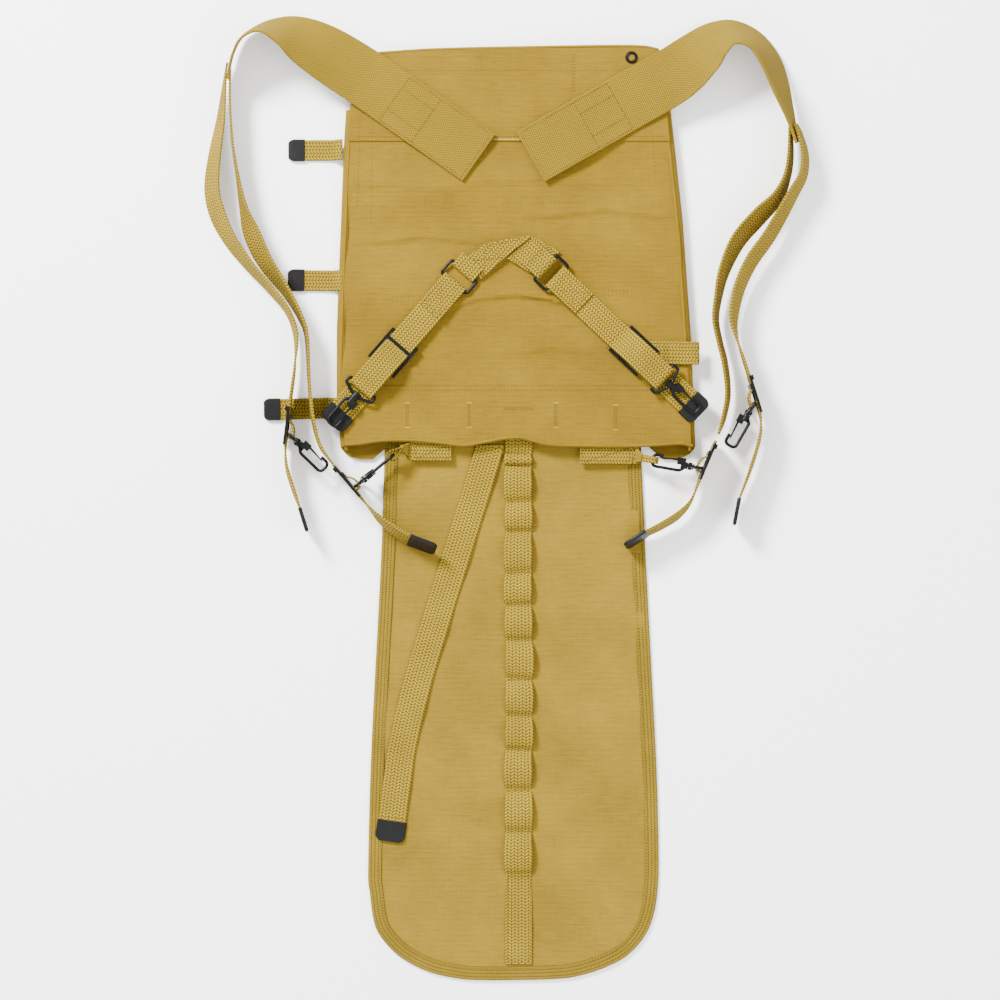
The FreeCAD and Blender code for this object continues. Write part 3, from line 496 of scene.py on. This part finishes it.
PANEL_LEFT = [(-151, 45), (-155, 93), (-155, 158), (-151, 262), (-148, 337), (-146, 369), (-120, 417.5)]
PANEL_RIGHT = [(173, 45), (172, 74), (169, 149), (161, 262), (155, 318), (150, 362), (143, 421)]
PANEL_TOP = [(-120, 417.5), (-63, 421), (31, 423), (118, 424), (142, 421)]
HEM = [(-152, 49), (-135, 50.5), (-118, 53), (-87, 53.5), (-60, 51), (-40, 49), (-20, 52), (-4, 55), (13, 56),
       (25, 53), (40, 49.5), (67, 48.5), (100, 48), (139, 49), (163, 50.5), (174, 48)]
HEM_TOP = 105.0
PANEL_LEVEL = 12.6            # upper face of the canvas where it lies smooth
PANEL_SAG = 1.3
PANEL_THICK = 1.6
LAYER_RISE = 1.3              # a second ply's height over the first
LAYER_THICK = 1.2
SEAM = 335.0
CREASES = [([(-60, 177), (-24, 186), (8, 188.5), (34, 186), (70, 177)], 6.0, 4.4),
           ([(-120, 238), (-80, 243), (-40, 239)], 9.0, 2.4), ([(40, 262), (90, 268), (140, 262)], 9.0, 2.4),
           ([(-130, 290), (-95, 293), (-60, 287)], 10.0, 1.1), ([(60, 160), (90, 166), (120, 160)], 8.0, 1.1),
           ([(20, 134), (40, 139), (60, 136)], 8.0, 1.2), ([(-20, 292), (30, 296), (90, 290)], 12.0, 1.0)]


def panel_height(x, y):
    """The canvas's upper face, one ply."""
    inside = np.clip((y - HEM_TOP) / 25, 0, 1) * np.clip((SEAM + 10 - y) / 30, 0, 1)
    level = PANEL_LEVEL - PANEL_SAG * inside + ripple(x, y, 3, 62.0, 19.0, 2.5) * (0.16 + 0.84 * inside)
    level = level + ripple(x, y, 11, 22.0, 30.0, 0.5)
    for line, width, depth in CREASES:
        level = level + fold(x, y, line, width, depth)
    return np.minimum(level, 14.0 + 0.12 * (level - 14.0))


def surface(x, y):
    """What lies uppermost on the panel: the panel, its hem or its top layer."""
    level = panel_height(x, y)
    hem = np.clip((HEM_TOP - y) / 1.5, 0, 1)
    top = np.clip((y - SEAM) / 1.5, 0, 1)
    return level + LAYER_RISE * np.maximum(hem, top)


def make_panel():
    grid = patch(PANEL_LEFT, PANEL_RIGHT, HEM, PANEL_TOP, 130, 170, panel_height)
    panel = cloth("canvas_back_panel", grid, PANEL_THICK, CANVAS)
    done(panel, "haversack", ["back_panel"])

    def ply(low_edge, high_edge, name, node, rows):
        grid = patch(PANEL_LEFT, PANEL_RIGHT, low_edge, high_edge, 120, rows,
                     lambda x, y: panel_height(x, y) + LAYER_RISE)
        return done(cloth(name, grid, LAYER_THICK, CANVAS), "haversack", [node])

    hem = ply(HEM, [(-200, HEM_TOP), (200, HEM_TOP)], "canvas_hem_band", "hem_band", 30)
    top = ply([(-200, SEAM), (200, SEAM)], PANEL_TOP, "canvas_top_layer", "top_layer", 46)
    line = [(x, y + 1.2, float(panel_height(x, y)) + 0.9) for x, y in HEM]
    roll = strap("hem_roll", line, 3.4, 2.6, CANVAS, rounding=1.2)
    done(roll, "haversack")
    line = [(x, y - 0.6, float(panel_height(x, y)) + 0.3) for x, y in PANEL_TOP]
    top_roll = strap("top_fold", line, 3.2, 2.8, CANVAS, rounding=1.3)
    done(top_roll, "haversack")
    for side, edge in (("left", PANEL_LEFT), ("right", PANEL_RIGHT)):
        sign = 1 if side == "left" else -1
        line = [(x + sign * 1.0, y, 11.4) for x, y in edge[:-1]]
        piece = strap(f"{side}_side_fold", line, 3.0, 3.0, CANVAS, rounding=1.4)
        done(piece, "haversack")


def make_wings():
    """Each side wing turns round the panel's side and lies folded under it."""
    for side, edge, sign in (("left", PANEL_LEFT, 1), ("right", PANEL_RIGHT, -1)):
        turn = [(3.0, 11.2), (0.0, 11.4), (-2.6, 10.4), (-4.2, 8.0), (-4.4, 5.0), (-3.0, 2.6), (0.0, 1.7),
                (6.0, 1.6), (14.0, 1.6), (26.0, 1.6), (40.0, 1.6), (62.0, 1.6), (88.0, 1.6), (118.0, 1.6)]
        lobe_x = [-5, -2, 4, 12, 22, 30, 36, 46, 120]
        lobe_y = [50.0, 44.0, 39.5, 37.0, 36.0, 37.5, 44.0, 57.0, 58.0]
        rows = []
        for share in np.linspace(0, 1, 60):
            row = []
            for step, (across, z) in enumerate(turn):
                low = 49.5 if step < 2 else (49.5 + (float(np.interp(across, lobe_x, lobe_y)) - 49.5)
                                             * min(1.0, (step - 1) / 4))
                y = low + (364.0 - low) * share
                x = float(edge_x(edge, max(y, 50))) + sign * across
                row.append((x, y, z))
            rows.append(row)
        grid = np.array(rows)
        span = np.concatenate([[0], np.cumsum([math.dist(a, b) for a, b in zip(turn, turn[1:])])])
        uvs = np.stack([np.tile(span, (60, 1)), grid[..., 1]], axis=-1) * MM
        if sign > 0:
            grid, uvs = grid[:, ::-1], uvs[:, ::-1]
        wing = cloth(f"canvas_{side}_wing", grid, LAYER_THICK, CANVAS, uvs)
        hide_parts(f"{side}_wing")
        x = -156.2 if sign > 0 else 166.5
        bent(wing, (x + sign * 2.5, 210, 11.4))


FLAP_LEFT = [(-114.5, 62), (-114.5, 44.5), (-118, -58), (-127, -235), (-130, -345), (-129, -366),
             (-124, -400), (-114, -417), (-98, -432), (-75, -444), (-52, -450)]
FLAP_RIGHT = [(126.5, 62), (126.5, 44.5), (131, -58), (136, -157), (141, -255), (143, -335), (142, -368),
              (138, -392), (130, -411), (114, -429), (92, -441), (66, -449)]
FLAP_FOOT = [(-52, -450), (-29, -452.5), (11, -452.5), (45, -451.5), (66, -449)]
BINDING = 13.8


def flap_height(x, y):
    return 2.1 + np.abs(ripple(x, y, 23, 52.0, 34.0, 1.5))


def make_flap():
    left = [(x + 5, y) for x, y in FLAP_LEFT]
    right = [(x - 5, y) for x, y in FLAP_RIGHT]
    s, t = np.meshgrid(np.linspace(0, 1, 90), np.linspace(0, 1, 190) ** 0.8)
    foot = -446.0
    y = 60.0 + (foot - 60.0) * t
    x = edge_x(left, y) * (1 - s) + edge_x(right, y) * s
    grid = np.stack([x, y, flap_height(x, y)], axis=-1)[::-1]
    flap = cloth("canvas_flap", grid, 1.5, FLAP_CANVAS)
    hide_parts("flap_panel")
    with_flap(flap)
    outline = FLAP_LEFT + FLAP_FOOT[1:-1] + FLAP_RIGHT[::-1]
    rows, _ = smooth([(x, y, 1.9) for x, y in outline], 3.0)
    way = unit(np.gradient(rows, axis=0))
    middle = rows + np.column_stack([-way[:, 1], way[:, 0], np.zeros(len(way))]) * (BINDING / 2)
    middle[:, 2] += ripple(middle[:, 0], middle[:, 1], 5, 60.0, 60.0, 0.35)
    tape = strap("flap_edge_binding", [tuple(p) for p in middle[::3]], BINDING, 2.9, TAPE, rounding=1.3)
    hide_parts("flap_binding")
    with_flap(tape)
    seam = rows + np.column_stack([-way[:, 1], way[:, 0], np.zeros(len(way))]) * (BINDING - 2.6)
    row = sew("flap_binding_stitches", [[(p[0], p[1]) for p in seam[::4]]], lambda x, y: 3.35, THREAD)
    with_flap(row)


LOOP_CREASES = [42, 31, -3, -31, -70, -100, -133, -170, -204, -236, -274, -313, -355]


def make_flap_straps():
    chance = random.Random(4)
    path = [(11.5, 56.0, 5.5), (11.5, 48.0, 5.0)]
    for high, low in zip(LOOP_CREASES, LOOP_CREASES[1:]):
        gap = high - low
        rise = 4.2 + 2.0 * min(gap, 34) / 34
        lean = chance.uniform(-1.1, 1.1)
        path += [(11.5, high, 3.2, 90, 0.97), (11.5 + lean, high - gap * 0.22, 3.2 + rise * 0.72, 90, 1.0),
                 (11.5 + lean, high - gap * 0.5, 3.2 + rise, 90, 1.04),
                 (11.5 + lean, high - gap * 0.8, 3.2 + rise * 0.66, 90, 1.01)]
    path += [(11.5, -355, 3.2, 90, 0.97), (11.5, -380, 3.4), (11.5, -437, 3.4)]
    loops = strap("flap_loop_webbing", path, 26.0, 1.9, WEBBING, across=(1, 0, 0), step=1.6)
    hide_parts("loop_webbing")
    with_flap(loops)
    rows = [[(0.5, y), (22.5, y)] for y in LOOP_CREASES[1:]]
    rows += [[(0.6, -434), (0.6, -358)], [(22.4, -434), (22.4, -358)], [(0.6, -434), (22.4, -434)]]
    marks = sew("loop_stitches", rows, lambda x, y: 4.3, THREAD, 2.2, 1.6, 0.9)
    with_flap(marks)

    route = [(-16, 50, 5.4), (-17.5, 42, 4.9), (-32, -6, 4.6), (-49, -60, 4.5), (-67, -118, 4.5),
             (-84, -175, 4.8), (-97, -230, 4.5), (-102.5, -266, 4.4), (-107.5, -305, 4.3)]
    strip = strap("webbing_coupling_strap", route, NARROW + 1.0, NARROW_THICK, WEBBING)
    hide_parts("coupling_strap")
    bent(strip, (-17.5, 41.5, 4))
    cap = tip("coupling_strap_cap", (-107.4, -304, 4.2), (-110, -322, 4.0), 27.4, 3.4, stand=90)
    done(cap, "coupling_strap", ["coupling_strap_tip"])
    marks = sew("coupling_stitches", [[(-119, -298), (-96, -301)]], lambda x, y: 5.5, THREAD, 2.4, 1.7)
    done(marks, "coupling_strap")


# ---------------------------------------------------------------- webbing harness

WEB_PATH = {
    "left": [(-26, 319, 16.2, 90), (-58, 341.5, 16.0, 90), (-96, 368, 15.8, 90), (-132.5, 393.5, 16.5, 88),
             (-152, 406, 18.5, 84), (-171, 417.5, 21.5, 74), (-190, 427.5, 25, 58), (-210, 436, 29, 34),
             (-230, 438.5, 30.5, 14), (-246, 430.5, 29, 8, 0.97), (-254.5, 417, 25, 6, 0.76),
             (-259, 402, 20.5, 5, 0.56), (-260.5, 392, 19, 6, 0.5)],
    "right": [(22.5, 319.5, 16.2, -90), (60, 341, 16.0, -90), (104, 366, 15.8, -90), (146, 390, 16.5, -86),
              (163, 401, 19, -76), (180, 415, 22.5, -60), (196, 428.5, 26, -42), (213, 434.5, 28, -30),
              (232, 427, 28, -25), (246, 408, 28, -26), (256, 383, 26.5, -24, 0.9), (264, 360, 23, -18, 0.7),
              (268.5, 345, 20.5, -14, 0.56), (272, 333, 19, -12, 0.5)],
}
OUTER_PATH = {
    "left": [(-261, 407, 19.5, 5), (-263, 395, 19, 7), (-267, 356, 18.7, 20), (-273, 320, 18.5, 30),
             (-275.5, 290, 18.4, 36), (-270, 265, 18.4, 38), (-258, 241, 18.5, 30), (-240, 217, 18.5, 20),
             (-221, 196, 18.5, 15), (-204.5, 175, 18.5, 12), (-197, 152, 18.5, 10), (-197.9, 124, 18.5, 2),
             (-201.5, 96, 18.5, 0), (-204.2, 74, 18.5, 0), (-206.4, 56, 18.5, 0), (-206, 32, 18.5, 6),
             (-199.6, 9, 18.0, 8), (-193, -10, 17.5, 3)],
    "right": [(270, 350, 19, -14), (274.5, 340, 18.8, -15), (279, 322, 18.5, -18), (277.5, 303, 18.5, -20),
              (268.5, 286, 18.5, -24), (256.5, 264, 18.5, -28), (244, 243, 18.5, -30),
              (228.5, 221, 18.5, -30), (217.5, 196, 18.5, -26), (212.4, 170, 18.5, -20),
              (214.8, 152, 18.5, -8), (220.4, 134, 18.5, -1),
              (228, 110, 18.5, 0), (235.6, 86, 18.5, 0), (237.6, 62, 18.5, -6), (229, 30, 18.0, -7),
              (217.5, -1, 17.5, -3)],
}
INNER_PATH = {
    "left": [(-258.5, 404, 19, 4), (-258.5, 371, 18.7, 4), (-256.5, 335, 18.5, 5), (-251.5, 302, 18.5, 7),
             (-246, 272, 18.5, 18), (-238, 247, 18.5, 40), (-225.5, 221, 18.5, 36), (-206, 193, 18.5, 20),
             (-192, 168, 18.5, 12), (-186.6, 149, 18.5, 8), (-184.6, 110, 18.5, 6), (-181.5, 77, 18.5, 7),
             (-174.5, 50, 18.5, 6), (-162.5, 32.5, 18.5, 2)],
    "right": [(265.5, 347, 19, -10), (265.5, 321, 18.6, -15), (262, 300, 18.5, -18), (253, 281, 18.5, -28),
              (236, 263.5, 18.5, -38), (216.5, 241, 18.5, -36), (203.5, 213, 18.5, -26),
              (198, 189, 18.5, -18),
              (195.5, 168, 18.5, -15), (199, 148, 18.5, -14), (204.3, 126, 18.5, -14), (207, 98, 18.5, -12),
              (203, 75, 18.5, -10), (198.2, 60.5, 18.5, -4)],
}
# The strap's last stretch on the pack: from the lower adjuster to its loose end.
END_PATH = {
    "left": [(-162.1, 31.5, 18.5, 0), (-148.5, 15.5, 18.5, 0), (-135, -0.5, 18.5, 0), (-127, -10, 18.5, 4),
             (-117, -20.5, 18, 14), (-103, -31.5, 17, 20), (-90, -39, 16.5, 20)],
    "right": [(195.6, 53.9, 18.5, 0), (187.5, 34.5, 18.5, 0), (180, 16.5, 18.5, 0), (172, -3, 18.5, -6),
              (160, -16, 18, -14), (145, -25.5, 17.5, -14), (130, -33, 17, -12)],
}
# Metal tips: start, end, lean.
TIPS = {"left_outer": ((-193, -10, 17.5), (-186.5, -31, 17), 3),
        "right_outer": ((217.5, -1, 17.5), (213, -25, 17), -3),
        "left_inner": ((-90, -39, 16.5), (-66, -48, 16), 20),
        "right_inner": ((130, -33, 17), (111, -45, 16.5), -12)}
# Adjusters: middle, the way the strap runs, and the side on which the ring hangs.
ADJUSTER = {"left_outer": ((-205, 68), (-0.124, -0.992), 1),
            "left_inner": ((-148.5, 15.5), (0.648, -0.761), 1),
            "right_outer": ((232, 97.5), (0.300, -0.954), -1),
            "right_inner": ((187.5, 34.5), (-0.387, -0.922), -1)}
EDGE_MIDDLE = 18.5


def bar_turn(along, rise):
    """The round part of a strap's turn about its ring bar."""
    angles = [math.radians(degrees) for degrees in (45, 0, -40)]
    return [(along + BAR_LOOP * math.cos(a), rise + BAR_LOOP * math.sin(a)) for a in angles]


def bar_loop(name):
    """The turn of webbing that holds a hook's ring, standing on edge beside the adjuster."""
    (x, y), way, side = ADJUSTER[name]
    way = unit(np.array(way))
    out = np.array([-way[1], way[0]]) * side
    shape = [(-4.6, 1.9), (-2.0, 4.2), (2.5, 6.4), (8.0, 6.6)]
    shape += bar_turn(8, BAR_LOOP)
    shape += [(8.6, 0.7), (5.0, 0.5)]
    points = [(x + way[0] * a + out[0] * b, y + way[1] * a + out[1] * b, EDGE_MIDDLE) for a, b in shape]
    return strap(f"{name}_ring_loop", points, NARROW - 0.6, 1.7, WEBBING, across=(0, 0, 1), step=1.0)


def make_suspenders():
    for side in ("left", "right"):
        body = f"{side}_suspender"
        web = strap(f"{side}_shoulder_webbing", WEB_PATH[side], WIDE, WIDE_THICK, WIDE_WEBBING)
        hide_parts(f"{side}_shoulder_web")
        x = -150 if side == "left" else 158
        sign = -1 if side == "left" else 1
        bent(web, (x - sign * 7, 400, 16))
        outer = strap(f"{side}_outer_webbing", OUTER_PATH[side], NARROW, NARROW_THICK, WEBBING)
        done(outer, body, [f"{side}_outer_strap"])
        inner = strap(f"{side}_inner_webbing", INNER_PATH[side], NARROW, NARROW_THICK, WEBBING)
        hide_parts(f"{side}_inner_strap")
        foot = INNER_PATH[side][-1]
        bent(inner, foot[:3])
        end = strap(f"{side}_inner_end", END_PATH[side], NARROW, NARROW_THICK, WEBBING)
        done(end, "haversack", ["inner_strap_ends"] if side == "left" else ())
        done(bar_loop(f"{side}_outer"), body)
        done(bar_loop(f"{side}_inner"), "haversack")
        for kind, owner, node in (("outer", body, f"{side}_outer_strap_tip"),
                                  ("inner", "haversack", "inner_strap_tips")):
            start, finish, stand = TIPS[f"{side}_{kind}"]
            cap = tip(f"{side}_{kind}_cap", start, finish, 26.4, 3.4, stand=stand)
            done(cap, owner, [node] if (kind == "outer" or side == "left") else ())


# Rear straps: yoke-ring bar, the way they run, distance to the ring bar and to the strap's end.
REAR = {"left": ((-49.6, 201.3), (-0.656, -0.754), 129.0, 160.0),
        "right": ((47.5, 205.8), (0.728, -0.686), 134.5, 170.0)}
REAR_LEVEL = 16.0


def rear_points(side, shape):
    """Points from (distance along a rear strap, height above its middle)."""
    (x, y), way, _, _ = REAR[side]
    way = unit(np.array(way))
    return [(x + way[0] * far, y + way[1] * far, REAR_LEVEL + up) for far, up in shape]


def rear_line(side, shape):
    """Points from (distance along a rear strap, distance beside its middle)."""
    (x, y), way, _, _ = REAR[side]
    way = unit(np.array(way))
    return [(x + way[0] * far - way[1] * off, y + way[1] * far + way[0] * off) for far, off in shape]


def make_rear_straps():
    for side in ("left", "right"):
        _, way, bar, end = REAR[side]
        across = (-way[1], way[0], 0)
        body = f"{side}_rear_strap"
        fold_over = [(34.0, 2.1), (8.0, 2.3), (2.2, 2.9), (-1.2, 2.7), (-2.7, 0.6), (-1.0, -1.1),
                     (3.0, -0.4), (12.0, 0.0), (60.0, 0.0), (86.0, 0.0), (110.0, -0.2), (end, 0.0)]
        path = rear_points(side, fold_over)
        strip = strap(f"{side}_rear_webbing", path, NARROW, REAR_THICK, WEBBING, across=across)
        done(strip, body, [f"{side}_rear_strap"])
        arch = [(78.5, 1.75), (84.0, 3.2), (92.0, 8.2), (102.0, 11.4), (112.0, 12.0), (120.0, 10.6),
                (bar - 4, 8.7), (bar, 8.3)]
        arch += bar_turn(bar, 5.0)
        arch += [(bar - 3.0, 1.7), (bar - 14.0, 1.6), (bar - 30, 1.9)]
        path = rear_points(side, arch)
        bulge = strap(f"{side}_rear_loop", path, NARROW, DOUBLED_THICK, WEBBING, across=across, step=1.5)
        done(bulge, body)
        start, finish = rear_points(side, [(end - 0.5, 0.0), (end + 15.0, 0.0)])
        cap = tip(f"{side}_rear_cap", start, finish, 27.0, 3.6, stand=90)
        done(cap, body, [f"{side}_rear_strap_tip"])
        box = [[(5, -10.6), (5, 10.6)], [(31, -10.6), (31, 10.6)], [(5, -10.6), (31, -10.6)],
               [(5, 10.6), (31, 10.6)], [(5, -10.6), (31, 10.6)], [(5, 10.6), (31, -10.6)]]
        lines = [rear_line(side, run) for run in box]
        marks = sew(f"{side}_rear_stitches", lines, lambda x, y: REAR_LEVEL + 3.15, THREAD, 2.3, 1.7)
        done(marks, body)


def make_yoke():
    """Two short webs sewn to the panel, the left one over the right, each turned round its ring."""
    for side in ("right", "left"):
        (x, y), way, _, _ = REAR[side]
        way = unit(np.array(way))
        level = 13.7 if side == "right" else 15.6
        bar = np.array([x, y]) - way * 16.0
        across = (-way[1], way[0], 0)
        path = []
        foot = -0.2 + (level - 15.6) * 0.3
        for far, up in ((11.0, 3.0), (4.0, 3.1), (0.5, 3.2), (-2.8, 1.8), (-2.4, 0.2), (1.0, foot)):
            spot = bar - way * far
            path.append((spot[0], spot[1], REAR_LEVEL + up - 0.3))
        fold_piece = strap(f"{side}_yoke_fold", path, NARROW, DOUBLED_THICK, WEBBING, across=across, step=1.0)
        done(fold_piece, "haversack")
    right = [[(22, 211.5), (50, 231)], [(0.5, 224.7), (24, 246)]]
    left = [[(-24, 205.5), (-42, 222.5)], [(-2, 225), (-19.5, 238.5)], [(9, 234), (2, 243)],
            [(22.5, 245), (22, 246)]]
    for side, level, rows in (("right", 15.1, right), ("left", 17.0, left)):
        rows = np.array(rows, float)
        count = 24
        grid = []
        for share in np.linspace(0, len(rows) - 1, 30):
            low = int(min(share, len(rows) - 1.001))
            ends = rows[low] * (1 - share + low) + rows[low + 1] * (share - low)
            line = ends[0] + (ends[1] - ends[0]) * np.linspace(0, 1, count)[:, None]
            grid.append([(p[0], p[1], level) for p in line])
        grid = np.array(grid)
        way = unit(np.array(REAR[side][1]))
        uv = np.stack([grid[..., 0] * way[0] + grid[..., 1] * way[1],
                       -grid[..., 0] * way[1] + grid[..., 1] * way[0]], axis=-1) * MM
        if side == "left":
            grid, uv = grid[:, ::-1], uv[:, ::-1]
        web = cloth(f"{side}_yoke_webbing", grid, 1.8, WEBBING, uv)
        done(web, "haversack", ["yoke_webs"] if side == "left" else ())
    lines_left = [[(-21.5, 207.5), (-38.5, 222)], [(-4, 225), (-20, 236)], [(-21.5, 207.5), (-20, 236)],
                  [(-38.5, 222), (-4, 225)], [(-20, 207), (18, 240)], [(-18, 236.5), (16, 243)]]
    lines_right = [[(18, 217), (6, 226)], [(19.5, 213.5), (45, 229)], [(4, 225), (18, 216)],
                   [(24, 243), (44, 230)]]
    done(sew("yoke_stitches_left", lines_left, lambda x, y: 17.2, THREAD, 2.3, 1.7), "haversack")
    done(sew("yoke_stitches_right", lines_right, lambda x, y: 15.3, THREAD, 2.3, 1.7), "haversack")


def make_binding_straps():
    for number, (tip_x, y) in {1: (-205.0, 327.0), 2: (-205.5, 204.5), 3: (-228.0, 85.0)}.items():
        droop = {1: 0.0, 2: 1.0, 3: -2.5}[number]
        inner = -156.0 if number < 3 else -158.5
        path = [(tip_x + 13.0, y + droop * 0.5, 1.5), (-182, y + droop * 0.2, 1.6), (-168, y, 1.9),
                (-163, y, 2.6), (-160.2, y, 5.0), (inner - 2.6, y, 8.5), (inner + 2, y, 10.4)]
        strip = strap(f"binding_webbing_{number}", path, 19.5, 2.0, WEBBING, across=(0, -1, 0), step=1.5)
        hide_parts(f"binding_strap_{number}")
        bent(strip, (-158.5, y, 8.0))
        start, finish = (tip_x + 14.0, y + droop * 0.5, 1.8), (tip_x, y + droop * 0.6, 1.8)
        cap = tip(f"binding_cap_{number}", start, finish, 20.6, 3.2, stand=90)
        done(cap, f"binding_strap_{number}", [f"binding_strap_tip_{number}"])


def make_tabs():
    """Doubled webbing tabs whose open ends hold the two clipped hooks, and the side keeper."""
    ends = {"left": ((-140.8, 11.6), (0.769, 0.639), False), "right": ((181.4, 28.4), (-0.985, 0.170), True)}
    blocks = {"left": [(-52, 44.5), (-70, 44.5), (-88, 44.8)], "right": [(69, 41.5), (95, 41.5), (118, 41.2)]}
    pieces = []
    for side, ((x, y), way, flat_loop) in ends.items():
        way = unit(np.array(way))
        reach = 10.0 + 35.5
        hold = np.array([x, y]) + way * reach
        path = [(px, py, 8.0, 90, 1.0) for px, py in blocks[side]]
        lead = np.array([x, y]) + way * (reach + 9.5)
        sign = -1 if side == "left" else 1
        toe = blocks[side][-1]
        path += [(toe[0] + sign * 4, (toe[1] + lead[1]) / 2, 9.6, 90, 0.85),
                 ((toe[0] + lead[0]) / 2, (toe[1] + lead[1]) / 2, 12.5, 90, 0.62),
                 (lead[0], lead[1], 18.0, 90, 0.34)]
        strip = strap(f"{side}_hook_tab", path, 18.6, 3.2, WEBBING, across=(0, 1, 0))
        pieces.append(strip)
        loop = []
        for u, w in ((9.5, 0.8), (5.5, 2.4), (1.5, 4.2), (-2.0, 4.6), (-4.4, 2.6), (-4.9, 0.0), (-4.4, -2.6),
                     (-2.0, -4.6), (1.5, -4.2), (5.5, -2.4), (9.5, -0.8)):
            spot = hold + way * u
            if flat_loop:
                loop.append((spot[0], spot[1], EDGE_MIDDLE + w))
            else:
                loop.append((spot[0] - way[1] * w, spot[1] + way[0] * w, EDGE_MIDDLE))
        hold_across = (-way[1], way[0], 0) if flat_loop else (0, 0, 1)
        pieces.append(strap(f"{side}_tab_loop", loop, 6.6, 1.5, WEBBING, across=hold_across, step=1.0))
        inner_x, outer_x = blocks[side][0][0], blocks[side][-1][0]
        mid = blocks[side][0][1]
        a, b = sorted((inner_x, outer_x))
        a, b = a + 2.5, b - 2.5
        low, high = mid - 7.2, mid + 5.4
        lines = [[(a, low), (b, low)], [(a, high), (b, high)], [(a, low), (a, high)], [(b, low), (b, high)],
                 [(a, low), (b, high)]]
        pieces.append(sew(f"{side}_tab_stitches", lines, lambda x, y: 9.75, THREAD, 2.4, 1.7))
    path = [(130, 136.5, 14.9), (150, 136.3, 15.0), (166, 136, 15.4), (174, 136, 15.8), (178.6, 136, 15.2),
            (179.6, 136, 13.9), (178.0, 136, 13.2), (172, 136, 13.1)]
    keeper = strap("side_keeper", path, 21.5, 1.6, WEBBING, across=(0, 1, 0), step=1.0)
    pieces.append(keeper)
    pieces.append(sew("keeper_stitches", [[(148, 127), (148, 145.5)], [(151, 127), (151, 145.5)]],
                      lambda x, y: 16.0, THREAD, 2.3, 1.7))
    for piece in pieces:
        done(piece, "haversack")
    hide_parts("webbing_tabs")


def make_panel_stitches():
    across = [[(-118, 400.5), (138, 400.5)], [(-140, 339), (148, 339)], [(-146, 101.5), (168, 101.5)],
              [(61.6, 380), (61.6, 416)], [(63.8, 380), (63.8, 416)]]
    faint = [[(-137, 360), (-139.6, 275)], [(-125.5, 355), (-127, 262)], [(136.8, 346), (139, 300)],
             [(-108, 184), (-86, 184)], [(90, 190), (119, 190)], [(-139.6, 274), (-115, 274)],
             [(22, 277), (64, 277)], [(-86, 189), (-108, 189)], [(119, 195), (90, 195)]]

    def height(x, y):
        return surface(x, y) + 0.1

    done(sew("panel_stitches", across, height, THREAD), "haversack")
    done(sew("faint_stitches", faint, height, THREAD, 3.6, 1.8, 0.6), "haversack")
    # Painted highlight: a short row of pale dashes standing for light on the top layer's seam.
    done(sew("seam_highlight", [[(-12, 336.5), (19, 336.5)]], height, PALE_THREAD_AND_HIGHLIGHT, 2.4, 2.3, 1.0),
         "haversack")
    slots, bars = [], []
    for x, y in ((-93, 78), (-35, 78), (46, 78), (102, 76)):
        slots += [[(x - 0.9, y - 11), (x - 0.9, y + 11)], [(x + 0.9, y - 11), (x + 0.9, y + 11)]]
        bars += [[(x - 2.2, y - 11.5), (x + 2.2, y - 11.5)], [(x - 2.2, y + 11.5), (x + 2.2, y + 11.5)]]
    slots += [[(-3, 84.9), (25, 84.9)], [(-3, 83.1), (25, 83.1)]]
    done(sew("buttonhole_stitches", slots, height, THREAD, 1.5, 1.1, 0.9), "haversack")
    done(sew("buttonhole_bars", bars, height, PALE_THREAD_AND_HIGHLIGHT, 1.2, 1.1, 0.9), "haversack")
    webs = []
    for start, end in (((-26, 319), (-132.5, 393.5)), ((22.5, 319.5), (146, 390))):
        start, end = np.array(start, float), np.array(end, float)
        way = unit(end - start)
        side = np.array([-way[1], way[0]])
        for off in (-24.2, 24.2):
            a, b = start + way * 3 + side * off, start + way * 96 + side * off
            webs.append([tuple(a), tuple(b)])
        for far in (3, 60, 96):
            webs.append([tuple(start + way * far - side * 24.2), tuple(start + way * far + side * 24.2)])
        webs.append([tuple(start + way * 60 - side * 12), tuple(start + way * 96 - side * 12)])
        webs.append([tuple(start + way * 60 + side * 12), tuple(start + way * 96 + side * 12)])
    done(sew("anchor_stitches", webs, lambda x, y: 17.5, THREAD, 2.9, 2.0, 0.7), "haversack")


def finish_hardware():
    """The frame's own metal parts keep their shape and get the enamel."""
    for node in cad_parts.values():
        if node.hide_render:
            continue
        node.data.materials.clear()
        node.data.materials.append(ENAMEL)


def stand_for_anchors():
    """The sewn ends of the shoulder webbing are part of the two long pieces."""
    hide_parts("shoulder_anchors")


make_stage()
make_panel()
make_wings()
make_flap()
make_flap_straps()
make_suspenders()
make_rear_straps()
make_yoke()
make_binding_straps()
make_tabs()
make_panel_stitches()
stand_for_anchors()
finish_hardware()
